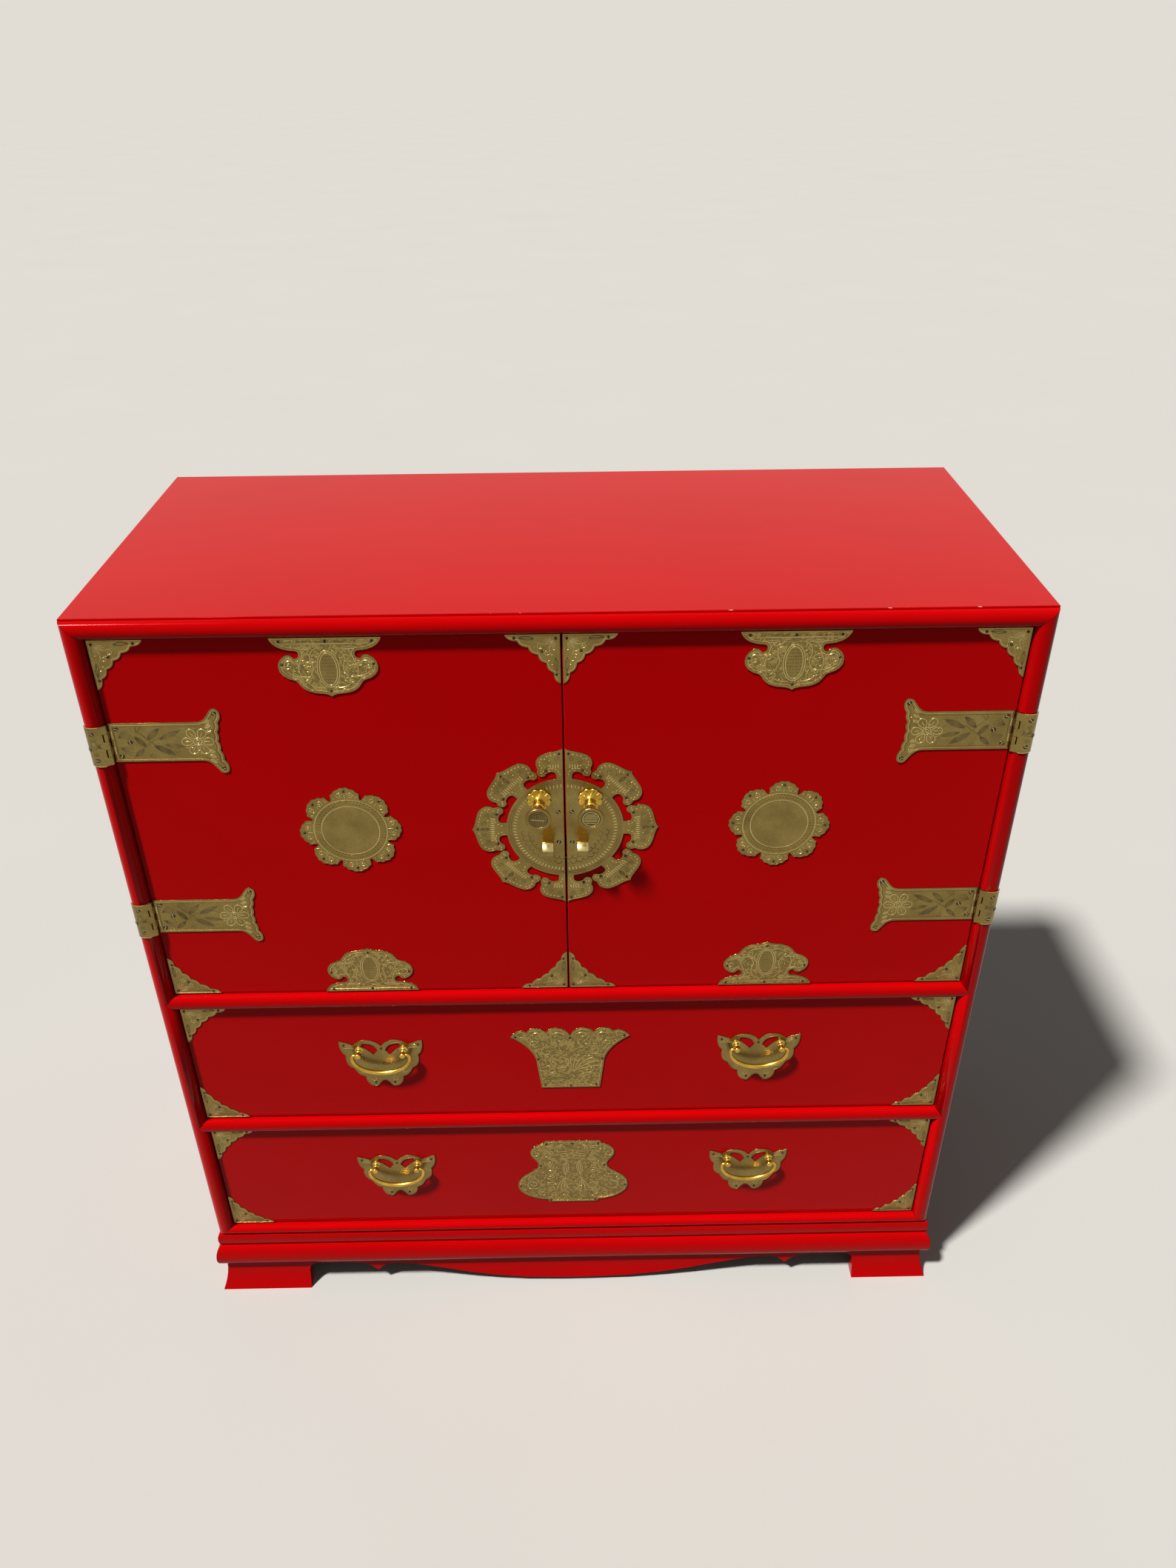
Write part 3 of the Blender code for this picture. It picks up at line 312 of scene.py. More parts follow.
def both(lines):
    """Lines and their mirror images in the Y axis."""
    return lines + [scaled(line, -1) for line in lines]


def reach(point, loop):
    """Distance from a point to an outline."""
    nearest = 1e9
    for i, end in enumerate(loop):
        start = loop[i - 1]
        along = end - start
        share = max(0, min(1, (point - start).dot(along) / max(along.length_squared, 1e-12)))
        nearest = min(nearest, (point - start - share * along).length_squared)
    return math.sqrt(nearest)


def inside(loop, distance):
    """A line that keeps a distance inside an outline, cut short where the outline is too tight for it."""
    sharpest, tolerance = 0.45, 0.96
    points = [Vector(p) for p in loop]
    count = len(points)
    turn = 1 if sum(points[i - 1].cross(points[i]) for i in range(count)) > 0 else -1
    kept = []
    for i, point in enumerate(points):
        into, out = (point - points[i - 1]).normalized(), (points[(i + 1) % count] - point).normalized()
        across = Vector((-into.y - out.y, into.x + out.x))
        if across.length < 0.01:
            continue
        across.normalize()
        lean = max(across.dot(Vector((-into.y, into.x))), sharpest)
        moved = point + turn * distance / lean * across
        if reach(moved, points) > abs(distance) * tolerance:
            kept.append(tuple(moved))
    return kept


def within(point, loop):
    """Whether a point is inside an outline."""
    x, y = point
    crossings = 0
    for i, (bx, by) in enumerate(loop):
        ax, ay = loop[i - 1]
        if (ay > y) != (by > y) and x < ax + (y - ay) / (by - ay) * (bx - ax):
            crossings += 1
    return crossings % 2 == 1


def curl(centre, size, start, hand, turns=1.4, steps=13):
    """A scroll that winds in towards its centre, from start degrees."""
    drawn_in = 0.88
    points = []
    for i in range(steps + 1):
        share = i / steps
        angle = math.radians(start) + hand * turns * 2 * math.pi * share
        radius = size * (1 - drawn_in * share)
        points.append((centre[0] + radius * math.cos(angle), centre[1] + radius * math.sin(angle)))
    return points


def leaf(base, tip, width, strokes=3):
    """A leaf of bowed strokes from its stem to its tip, as a graver cuts it."""
    a, b = Vector(base), Vector(tip)
    side = Vector((a.y - b.y, b.x - a.x)).normalized() * width
    lines = []
    for stroke in range(strokes):
        bow = side * (2 * stroke / (strokes - 1) - 1)
        bends = (tuple(a.lerp(b, 0.3) + bow), tuple(a.lerp(b, 0.7) + bow * 0.8))
        lines.append(path(base, (*bends, tip), steps=6))
    return lines


def spray(base, angle, length, strokes, bow):
    """Curved strokes that fan from one point, as a chased tuft of grass or feathers."""
    apart = 15
    lines = []
    for i in range(strokes):
        end = (length * (1 - 0.06 * i), 0)
        stroke = path((0, 0), ((length * 0.35, bow), (length * 0.75, bow), end), steps=6)
        lines.append(shifted(turned(stroke, angle + (i - (strokes - 1) / 2) * apart), *base))
    return lines


def dashes(line, length, gap):
    """Short straight pieces along a line."""
    made, along = [], 0.0
    for start, end in zip(line, line[1:]):
        a, b = Vector(start), Vector(end)
        along += (b - a).length
        if along > length + gap:
            way = (b - a).normalized() * length / 2
            made.append([tuple(b - way), tuple(b + way)])
            along = 0.0
    return made


def comma_ground(loop, pitch, seed, bare):
    """Commas on a staggered grid inside an outline, the chased ground of a plate, except where it is bare."""
    stray = 0.2
    dice = random.Random(seed)
    xs, ys = zip(*loop)
    lines = []
    for row in range(int((max(ys) - min(ys)) / pitch) + 2):
        y = min(ys) + row * pitch
        for column in range(int((max(xs) - min(xs)) / pitch) + 2):
            x = min(xs) + (column + row % 2 / 2) * pitch
            if within((x, y), loop) and not bare(x, y):
                at = (x + dice.uniform(-stray, stray) * pitch, y + dice.uniform(-stray, stray) * pitch)
                size, hand = pitch * dice.uniform(0.42, 0.6), dice.choice((-1, 1))
                lines.append(curl(at, size, dice.uniform(0, 360), hand, turns=0.5, steps=7))
    return lines


# Meshes


def piece(name, form, finishes, body, slot, *nodes):
    """Makes an object of a bmesh, moving with a body and standing for the given solids."""
    mesh = bpy.data.meshes.new(name)
    form.to_mesh(mesh)
    form.free()
    for each in finishes:
        mesh.materials.append(each)
    mesh.shade_smooth()
    mesh.set_sharp_from_angle(angle=SHARP)
    for polygon in mesh.polygons:
        polygon.use_smooth = max(abs(part) for part in polygon.normal) < 0.9999
    obj = bpy.data.objects.new(name, mesh)
    bpy.context.scene.collection.objects.link(obj)
    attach(obj, body)
    if nodes:
        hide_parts(*nodes)


def mount(body, label, form, node):
    """Makes a brass mount of a door or drawer, which stands for the solid of that body and name."""
    piece(f"{body}_{label}", form, BRASSES, body, "brass", f"{body}_{node}")


def join(form, other, index):
    """Adds a bmesh or curve object to a form and uses it up. With no index its faces keep their finishes."""
    if isinstance(other, bmesh.types.BMesh):
        mesh = bpy.data.meshes.new("joined")
        other.to_mesh(mesh)
        other.free()
    else:
        mesh = bpy.data.meshes.new_from_object(other)
        bpy.data.curves.remove(other.data)
    if index is not None:
        for polygon in mesh.polygons:
            polygon.material_index = index
    form.from_mesh(mesh)
    bpy.data.meshes.remove(mesh)


def solid(form, make, matrix, index, **sizes):
    """Adds one of the solids that bmesh makes."""
    made = bmesh.new()
    make(made, matrix=matrix, **sizes)
    join(form, made, index)


def soften(form, edges, radius, segments=3):
    """Rounds edges of a form."""
    bmesh.ops.bevel(
        form, geom=edges, offset=radius, segments=segments, profile=0.5, affect="EDGES", material=-1,
        clamp_overlap=True,
    )


def draw_out(form, face, way):
    """Makes a solid of a form's one face."""
    grown = bmesh.ops.extrude_face_region(form, geom=[face])["geom"]
    bmesh.ops.translate(form, verts=[g for g in grown if isinstance(g, bmesh.types.BMVert)], vec=way)
    bmesh.ops.recalc_face_normals(form, faces=form.faces)


def block(form, low, high, edge, index=0):
    """A box between two corners with its edges rounded."""
    low, high = Vector(low), Vector(high)
    box = bmesh.new()
    shape = Matrix.Translation((low + high) / 2) @ Matrix.Diagonal((*(high - low), 1))
    bmesh.ops.create_cube(box, size=1, matrix=shape)
    if edge:
        soften(box, box.edges, edge)
    join(form, box, index)


def prism(form, section, low, high):
    """An outline in X and Y, in metres, drawn up from one height to another."""
    bar = bmesh.new()
    face = bar.faces.new([bar.verts.new((x, y, low)) for x, y in section])
    draw_out(bar, face, (0, 0, high - low))
    join(form, bar, PLAIN)


def sheet(form, loops, back, front, edge, index):
    """A flat plate of closed outlines in metres, between two depths, with its front edge rounded."""
    flat = bmesh.new()
    for loop in loops:
        made = [flat.verts.new((x, back, z)) for x, z in loop]
        for i in range(len(made)):
            flat.edges.new((made[i - 1], made[i]))
    bmesh.ops.triangle_fill(flat, edges=flat.edges, use_beauty=True, use_dissolve=False)
    under = list(flat.faces)
    for face in under:
        face.normal_update()
        if face.normal.y > 0:
            face.normal_flip()
    grown = bmesh.ops.extrude_face_region(flat, geom=under)["geom"]
    bmesh.ops.reverse_faces(flat, faces=under)
    raised = [g for g in grown if isinstance(g, bmesh.types.BMFace)]
    corners = [g for g in grown if isinstance(g, bmesh.types.BMVert)]
    bmesh.ops.translate(flat, verts=corners, vec=(0, front + edge - back, 0))
    flat.normal_update()
    # Two insets round the edge: a steep one, then a flatter one
    for inward, up in ((0.3, 0.7), (0.7, 0.3)):
        bmesh.ops.inset_region(
            flat, faces=raised, thickness=edge * inward, depth=edge * up,
            use_boundary=True, use_even_offset=True,
        )
    join(form, flat, index)


def wires(form, lines, radius, index, closed=False, sides=1):
    """Round wires along lines of points in metres. A fourth number on a point thickens the wire there."""
    curve = bpy.data.curves.new("wires", "CURVE")
    curve.dimensions = "3D"
    curve.bevel_depth = radius
    curve.bevel_resolution = sides
    curve.use_fill_caps = not closed
    for line in lines:
        spline = curve.splines.new("POLY")
        spline.points.add(len(line) - 1)
        for point, (x, y, z, *thick) in zip(spline.points, line):
            point.co = (x, y, z, 1)
            point.radius = thick[0] if thick else 1
        spline.use_cyclic_u = closed
    join(form, bpy.data.objects.new("wires", curve), index)


def ridges(form, spot, lines, width, depth, index, lift=0.0):
    """Low round strokes at a depth that thin out at both ends. Lift sets them on the crests of others."""
    flatness, thin = 0.4, 0.3
    raised = bmesh.new()
    drawn = []
    for line in lines:
        if len(line) == 2:
            start, end = Vector(line[0]), Vector(line[1])
            line = [line[0], *[tuple(start.lerp(end, share)) for share in (0.3, 0.7)], line[1]]
        ring = (Vector(line[0]) - Vector(line[-1])).length < 0.1
        last = len(line) - 1
        bulge = [math.sin(math.pi * i / last) for i in range(len(line))]
        swell = [1 if ring else thin + (1 - thin) * out for out in bulge]
        drawn.append([(x, -lift * MM * w / flatness, z, w) for (x, z), w in zip(spot.flat(line), swell)])
    wires(raised, drawn, width / 2 * MM, index, sides=2)
    bmesh.ops.scale(raised, vec=(1, flatness, 1), verts=raised.verts)
    bmesh.ops.translate(raised, vec=(0, depth, 0), verts=raised.verts)
    join(form, raised, index)


def lathe(form, profile, spot, steps, index, shape=None):
    """Turns a profile of radius and height in metres about Y, heights to the front, and sets it at a spot."""
    turning = bmesh.new()
    made = [turning.verts.new((radius, -height, 0)) for radius, height in profile]
    edges = [turning.edges.new(pair) for pair in zip(made, made[1:])]
    bmesh.ops.spin(
        turning, geom=made + edges, axis=(0, 1, 0), cent=(0, 0, 0), steps=steps, angle=math.tau,
        use_merge=True,
    )
    bmesh.ops.remove_doubles(turning, verts=turning.verts, dist=1e-6)
    bmesh.ops.recalc_face_normals(turning, faces=turning.faces)
    if shape:
        shape(turning)
    bmesh.ops.transform(turning, matrix=Matrix.Translation(spot), verts=turning.verts)
    join(form, turning, index)


def nail(form, at):
    """A domed nail head with its rim against the plate."""
    radius, rise = 1.7 * MM, 0.55
    shape = Matrix.Translation(at) @ Matrix.Diagonal((radius, radius * rise, radius, 1))
    solid(form, bmesh.ops.create_uvsphere, shape, NAILS, u_segments=10, v_segments=6, radius=1)


def screw(form, spot, turn):
    """A slotted screw head that faces -Y of its spot, its slot turned in degrees."""
    foot, top, height = 3.0 * MM, 2.4 * MM, 0.9 * MM
    head = {"cap_ends": True, "segments": 16, "radius1": foot, "radius2": top, "depth": height}
    solid(form, bmesh.ops.create_cone, spot @ Matrix.Rotation(math.pi / 2, 4, "X"), NAILS, **head)
    across = spot @ Matrix.Translation((0, -height / 2, 0)) @ Matrix.Rotation(math.radians(turn), 4, "Y")
    slot = across @ Matrix.Diagonal((4.6 * MM, 0.2 * MM, 0.8 * MM, 1))
    solid(form, bmesh.ops.create_cube, slot, RUBBED_AND_HIGHLIGHT, size=1)


class Spot:
    """A point of the front from which a plate is drawn in millimetres, with its two directions."""

    def __init__(self, x, z, sx=1, sz=1):
        self.x, self.z, self.sx, self.sz = x, z, sx, sz

    def flat(self, points):
        return [(self.x + self.sx * x * MM, self.z + self.sz * y * MM) for x, y in points]

    def at(self, points, depth):
        return [(x, depth, z) for x, z in self.flat(points)]


def plate(
    form, spot, loops, rim, ridge, commas, chased=None, rims=None,
    lines=(), fine=(), nails=(), front=PLATE_FRONT, index=PLAIN,
):
    """A brass plate: sunk sheet, rim, a ridge inside it, raised and dark lines, nails, chasing and commas.

    Chased lines have a crest of paler rubbed brass, partly wear and partly a painted highlight.
    """
    sheet_edge, rim_edge, rim_foot = 0.2 * MM, 0.25 * MM, 0.1 * MM
    ridge_wire, raised_wire, dark_wire = 0.35 * MM, 0.50 * MM, 0.36 * MM
    crest, crest_lift = 0.4, 0.17
    sunk = front + SUNK
    sheet(form, [spot.flat(loop) for loop in loops], FACE_Y, sunk, sheet_edge, index)
    bands = rims or [(loop, inside(loop, rim if loop is loops[0] else -rim)) for loop in loops]
    for band in bands:
        sheet(form, [spot.flat(edge) for edge in band], sunk + rim_foot, front, rim_edge, PLAIN)
    if ridge:
        wires(form, [spot.at(inside(loops[0], rim + ridge), sunk)], ridge_wire, RUBBED_AND_HIGHLIGHT, closed=True)
    wires(form, [spot.at(line, sunk) for line in lines], raised_wire, RUBBED_AND_HIGHLIGHT)
    wires(form, [spot.at(line, sunk) for line in fine], dark_wire, DARK)
    for at in spot.at(nails, front):
        nail(form, at)
    if chased:
        strokes, width = chased
        ridges(form, spot, strokes, width, sunk, PLAIN)
        # A thin paler ridge on each chased stroke's crest: partly rubbed wear, partly a painted highlight
        ridges(form, spot, strokes, width * crest, sunk, RUBBED_AND_HIGHLIGHT, lift=width * crest_lift)
    ridges(form, spot, *commas, sunk, index)


# Case and base


def boards():
    """Flat boards with softened edges: lacquered outside, bare wood inside."""
    fronts = [f"{side}_door_panel" for side, _ in SIDES] + [f"{drawer}_drawer_front" for drawer in DRAWERS]
    lacquered = ["left_side", "right_side"] + fronts
    bare = ["back_panel", "bottom_panel", "shelf"]
    for drawer in DRAWERS:
        bare += [f"{drawer}_drawer_{part}" for part in ("left_side", "right_side", "back", "bottom")]
    bodies = {node: body for body, nodes in frame["record"]["behaviour"]["bodies"].items() for node in nodes}
    for node in lacquered + bare:
        low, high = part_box(node)
        if node in fronts:
            low.y = FACE_Y
        form = bmesh.new()
        block(form, low, high, BOARD_EDGE)
        wood = SIDE_WOOD if node.endswith("_side") else WOOD
        made, slot = (wood, "plain_wood") if node in bare else (LACQUER, "red_lacquer")
        piece(f"{node}_board", form, [made], bodies[node], slot, node)


def mouldings():
    """The front frame, rail boards, top and base, taken from the solids and shaded round."""
    nodes = ["left_stile", "right_stile", "top_rail", "bottom_rail", "door_bay_floor", "drawer_divider"]
    nodes += ["top_panel", "base_front", "base_left", "base_right", "base_back"]
    for node in nodes:
        form = bmesh.new()
        form.from_mesh(frame["nodes"][node].data)
        bmesh.ops.remove_doubles(form, verts=form.verts, dist=1e-6)
        bmesh.ops.dissolve_limit(form, angle_limit=math.radians(0.5), verts=form.verts, edges=form.edges)
        if node == "top_panel":
            upper = TOP_EDGE[1] - 0.1 * MM
            soften(form, [e for e in form.edges if all(v.co.z > upper for v in e.verts)], BOARD_EDGE)
        piece(f"{node}_lacquered", form, [LACQUER], "case", "red_lacquer", node)


# Corner plates


def corner_outline():
    """A right-angled plate whose long edge is a shallow hollow of scallops."""
    leg, tip, hollow, scallop, lobes, steps = 59.5, 1.2, 18.5, 2.5, 6, 6
    a, b, c = (leg, tip), (hollow, hollow), (tip, leg)
    points = [(0, 0), (leg, 0), a]
    for i in range(1, lobes * steps):
        t = i / (lobes * steps)
        out = scallop * abs(math.sin(math.pi * lobes * t)) / math.sqrt(2)
        shares = ((1 - t) ** 2, 2 * t * (1 - t), t * t)
        points.append(tuple(shares[0] * a[k] + shares[1] * b[k] + shares[2] * c[k] + out for k in (0, 1)))
    return points + [c, (0, leg)]


def corner_plates():
    """The corner plates of each door and drawer: a fan, stems and curls with a leaf along each edge."""
    outline = corner_outline()
    stem = path((6, 6), ((14, 13), (20, 12), (27, 9)))
    lines = [stem, [(y, x) for x, y in stem], curl((22, 14.5), 4, 200, 1), curl((14.5, 22), 4, 250, -1)]
    lines += [shifted(turned([(4, 0), (12 + 3 * (ray % 2), 0)], 5 + 10 * ray), 5, 5) for ray in range(9)]
    leaves = leaf((28, 5), (45, 4), 3.0) + leaf((5, 28), (4, 45), 3.0)
    nails = [(4.5, 5), (49.5, 4.2), (20, 20), (4.6, 48.5)]
    commas = comma_ground(inside(outline, 3.2), 6, 7, lambda x, y: math.hypot(x - 5, y - 5) < 16)
    margin = 0.7 * MM
    front = FACE_Y - CORNER_RELIEF
    panels = [(f"{side}_door_panel", f"{side}_door") for side, _ in SIDES]
    panels += [(f"{drawer}_drawer_front", f"{drawer}_drawer") for drawer in DRAWERS]
    for node, body in panels:
        low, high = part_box(node)
        form = bmesh.new()
        for x, sx in ((low.x + margin, 1), (high.x - margin, -1)):
            for z, sz in ((low.z + margin, 1), (high.z - margin, -1)):
                spot = Spot(x, z, sx, sz)
                marks = {"fine": leaves, "chased": (lines, 1.4), "nails": nails}
                plate(form, spot, [outline], 0.9, 0.9, (commas, 1.5), front=front, **marks)
        piece(f"{body}_corner_plates", form, BRASSES, body, "brass")


# Hinges


def strap_outline():
    """A long leaf, X from the barrel inwards, to two horns with a scalloped end between them."""
    half, start, length, flare, hollow, scallop = 25, 3.4, 130, 30, 7, 1.6
    horn_radius, horn_half = 6, 42
    horn = (length - horn_radius, horn_half - horn_radius)
    tip = arc(horn, horn_radius, 150, 0, 8)
    run_in = (tip[0][0] - horn_radius, tip[0][1] - 1.4 * horn_radius)
    upper = path((start, half), ((length - flare, half),), ((length - flare * 0.65, half), run_in, tip[0]))
    upper += tip[1:]
    lobes, steps = 6, 5
    end = []
    for i in range(1, lobes * steps):
        t = i / (lobes * steps)
        bay = hollow * (1 - (2 * t - 1) ** 2)
        out = scallop * abs(math.sin(math.pi * lobes * t))
        end.append((length - bay + out, horn[1] * (1 - 2 * t)))
    return upper + end + scaled(upper, 1, -1)[::-1]


def strap_lines():
    """Raised lines of a flower before the scalloped end, and dark ones of leaf scrolls along the strap."""
    flower = [arc((100, 0), 4.5, 0, 360, 14), arc((100, 0), 2.2, 0, 360, 8)]
    petal = path((4, 0), ((10, 7), (17, 6), (18, 0)), ((17, -6), (10, -7), (4, 0)), steps=6)
    for turn in range(0, 360, 60):
        flower += [shifted(turned(line, turn), 100, 0) for line in (petal, [(7, 0), (14, 0)])]
    for y in (-28, -21, -14, 14, 21, 28):
        flower += leaf((110.5, y * 0.85), (117.0 + abs(y) * 0.04, y), 2.4)
    lines = [path((28, -15), ((45, -4), (60, 17), (82, 5))), path((32, 15), ((44, 8), (52, -13), (78, -14)))]
    for base, tip, width, strokes in (
        ((44, 3), (59, 18), 5, 6),
        ((57, 3), (82, 15), 5, 6),
        ((50, -4), (72, -17), 5.5, 7),
        ((62, -3), (84, -7), 4, 5),
        ((41, -6), (30, 8), 4.5, 6),
        ((38, -9), (26, -19), 4, 5),
    ):
        lines += leaf(base, tip, width, strokes)
    lines += [curl((36, 17), 4.5, 0, 1), curl((46, -17), 3.5, 0, -1)]
    lines += spray((12, 6), 10, 17, 5, 3) + spray((12, -6), -10, 17, 5, -3)
    return flower, lines


def from_axis(sx, out, ahead):
    """X and Y in metres of a point out from a hinge's axis and ahead of it."""
    return sx * (HINGE_X + out * MM), HINGE_Y - ahead * MM


def leaf_point(sx, out, z):
    """A point on the front of the bent leaf, out from the axis, and its angle away from the front."""
    round_x, round_y = LEAF_OUTER
    angle = math.acos((out - LEAF_CENTRE[0]) / round_x)
    facing = math.atan2(math.cos(angle) / round_x, math.sin(angle) / round_y)
    return (*from_axis(sx, out, LEAF_CENTRE[1] + round_y * math.sin(angle)), z), sx * facing


def barrel(form, sx, low, high):
    """One rolled knuckle of a hinge."""
    radius, gap = KNUCKLE_RADIUS * MM, 0.3 * MM
    roll = {"cap_ends": True, "segments": 24, "radius1": radius, "radius2": radius, "depth": high - low - gap}
    middle = Matrix.Translation((sx * HINGE_X, HINGE_Y, (low + high) / 2))
    solid(form, bmesh.ops.create_cone, middle, PLAIN, **roll)


def strap_leaf(side, sx, level, z):
    """The long leaf on the door, with two knuckles and the tongues that carry them."""
    thickness, tongue = 1.3 * MM, 6.2 * MM
    form = bmesh.new()
    spot = Spot(sx * HINGE_X, z, -sx, 1)
    front = FACE_Y - thickness
    outline = strap_outline()
    border = inside(outline, 4.6)
    flower, leaves = strap_lines()
    commas = comma_ground(inside(outline, 5.5), 6.5, 6, lambda x, y: x < 84)
    marks = {"fine": leaves + [border + border[:1]], "chased": (flower, 2.0)}
    plate(form, spot, [outline], 1.5, 1.2, (commas, 1.7), front=front, **marks)
    heads = [(11.5, 17.5), (24, 0), (11.5, -17.5), (124, 36), (124, -36)]
    for turn, at in zip((20, 70, 120, 50, 160), spot.at(heads, front)):
        screw(form, Matrix.Translation(at), turn)
    xs = sorted((sx * HINGE_X, sx * (HINGE_X - tongue)))
    for row in (-15, 5):
        low, high = z + row * MM, z + (row + KNUCKLE) * MM
        barrel(form, sx, low, high)
        block(form, (xs[0], front, low), (xs[1], front + MM, high), 0, RUBBED_AND_HIGHLIGHT)
    mount(f"{side}_door", f"{level}_strap_leaf", form, f"{level}_strap")


def frame_leaf(side, sx, level, z):
    """The short leaf bent over the stile, with three knuckles and shorter tongues between them."""
    form = bmesh.new()
    start, end = LEAF_ENDS
    section = arc(LEAF_CENTRE, LEAF_OUTER, start, end, 14) + arc(LEAF_CENTRE, LEAF_INNER, end, start, 14)
    prism(form, [from_axis(sx, *point) for point in section], z - HINGE_HALF * MM, z + HINGE_HALF * MM)
    for row in range(5):
        low = z + (KNUCKLE * row - HINGE_HALF) * MM
        high = z + (KNUCKLE * row + KNUCKLE - HINGE_HALF) * MM
        tongue = [(4.37, 5.82), (1.75, 4.55), (2.2, 3.7), (4.86, 4.95)]
        if row % 2 == 0:
            tongue = [(4.37, 5.82), (0.6, 3.35), (1.5, 2.6), (4.86, 4.95)]
            barrel(form, sx, low, high)
        prism(form, [from_axis(sx, *point) for point in tongue], low, high)
    for turn, (out, up) in zip((40, 100, 10), ((12.5, 17), (19.5, -4), (12.5, -17))):
        at, facing = leaf_point(sx, out, z + up * MM)
        screw(form, Matrix.Translation(at) @ Matrix.Rotation(facing, 4, "Z"), turn)
    scrolls = spray((5.5, -2), 25, 13, 4, 3) + spray((5.5, 4), -20, 13, 3, -3)
    scrolls += [curl((12, 8), 3, 0, 1), curl((12, -9), 3, 0, -1)]
    edges = [[(x, y) for x in (4.5, 7, 9.5, 12, 14.5, 17, 19, 21)] for y in (-HINGE_HALF, HINGE_HALF)]
    for lines, radius, index in ((scrolls, 0.32, DARK), (edges, 0.5, RUBBED_AND_HIGHLIGHT)):
        drawn = [[leaf_point(sx, out, z + up * MM)[0] for out, up in line] for line in lines]
        wires(form, drawn, radius * MM, index)
    hinge = f"{side}_door_{level}"
    piece(f"{hinge}_bent_leaf", form, BRASSES, "case", "brass", f"{hinge}_frame_leaf")
    pin = frame["nodes"][f"{hinge}_hinge_pin"]
    pin.data.materials.clear()
    pin.data.materials.append(RIM)


def hinges():
    for side, sx in SIDES:
        for level, z in HINGE_LEVELS:
            strap_leaf(side, sx, level, z)
            frame_leaf(side, sx, level, z)


# Door brass


def cloud_outline():
    """A cloud-shaped plate that hangs from its straight edge."""
    half = path(
        (1, 0),
        ((0.96, -0.13), (0.80, -0.21), (0.55, -0.217)),
        ((0.48, -0.23), (0.48, -0.35), (0.595, -0.35)),
        ((0.64, -0.28), (0.70, -0.275), (0.76, -0.30)),
        ((0.97, -0.40), (0.96, -0.66), (0.63, -0.72)),
        ((0.54, -0.76), (0.56, -0.88), (0.33, -0.93)),
        ((0.22, -0.955), (0.08, -0.935), (0, -1)),
        steps=7,
    )
    return symmetric(scaled(half, 60.5, 71.5))


def cloud_lines(middle):
    """A hatched lantern between ribbons and leaves, under a plain strip."""
    lines = [arc(middle, (12, 22), 0, 360, 28), arc(middle, (9.6, 19.6), 0, 360, 26)]
    lines.append([(-53, -7.2), (53, -7.2)])
    hatch = []
    for row in range(9):
        y = -22 - 4.0 * row
        half = 8.6 * math.sqrt(max(0, 1 - ((y - middle[1]) / 19) ** 2))
        shares = (-0.83, -0.5, -0.17, 0.17, 0.5, 0.83)
        hatch += [[(half * share - 0.9, y), (half * share + 0.9, y - 0.4)] for share in shares]
    side = [
        path((3, -12), ((16, -10), (22, -22), (17, -32)), ((13, -40), (24, -46), (22, -56))),
        path((20, -14), ((28, -14), (27, -24), (30, -30)), ((36, -40), (28, -46), (30, -54))),
        curl((43, -34), 8, 180, -1, 1.1),
        curl((38, -47), 5, 90, 1, 0.9),
        curl((25, -50), 4, 0, 1, 0.9),
        path((24, -46), ((31, -48), (39, -47), (45, -40))),
        path((5, -61), ((13, -61), (19, -60), (24, -54))),
    ]
    return lines + both(side + leaf((16, -12), (34, -12), 2, 2)), hatch


def clouds(door, sx):
    """The plates at the top and bottom of a door, with a smooth lens under the lantern's hatching."""
    outline = cloud_outline()
    nails = mirrored([(50, -4.5), (49.5, -32)]) + [(0, -4.5), (0, -65)]
    commas = comma_ground(inside(outline, 6), 7, 5, lambda x, y: abs(x) < 14 or y > -13)
    middle = (0, -38)
    lens = arc(middle, (10.5, 20.5), 0, 360, 28)[1:]
    lens_front = PLATE_FRONT + 0.1 * MM
    lines, hatch = cloud_lines(middle)
    for label, end, sz in (("top", 1, 1), ("bottom", 0, -1)):
        form = bmesh.new()
        spot = Spot(sx * MOUNT_X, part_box(f"{door}_{label}_cloud")[end].z, 1, sz)
        plate(form, spot, [outline], 2.2, 1.3, (commas, 1.9), (lines, 2.0), nails=nails, index=WORKED)
        sheet(form, [spot.flat(lens)], FACE_Y, lens_front, 0.1 * MM, PLAIN)
        ridges(form, spot, hatch, 1.1, lens_front, DARK)
        mount(door, f"{label}_cloud_plate", form, f"{label}_cloud")


def medallion_outline():
    """Eight petals round a disc with small scallops along their edges."""
    petals, scallops, steps = 8, 6, 8
    shoulder, rise, scallop = 49.5, 10.0, 1.1
    cleft, cleft_rise, cleft_width = 45.5, 6.8, 0.16
    points = []
    count = scallops * steps
    for i in range(petals * count):
        share = (i % count) / count
        across = abs(share * 2 - 1)
        radius = shoulder + rise * (1 - across**1.7) + scallop * abs(math.sin(math.pi * scallops * share))
        if across > 1 - cleft_width:
            radius = cleft + cleft_rise * ((1 - across) / cleft_width) ** 2.4
        angle = math.radians(90) + math.pi * (2 * i / count - 1) / petals
        points.append((radius * math.cos(angle), radius * math.sin(angle)))
    return points


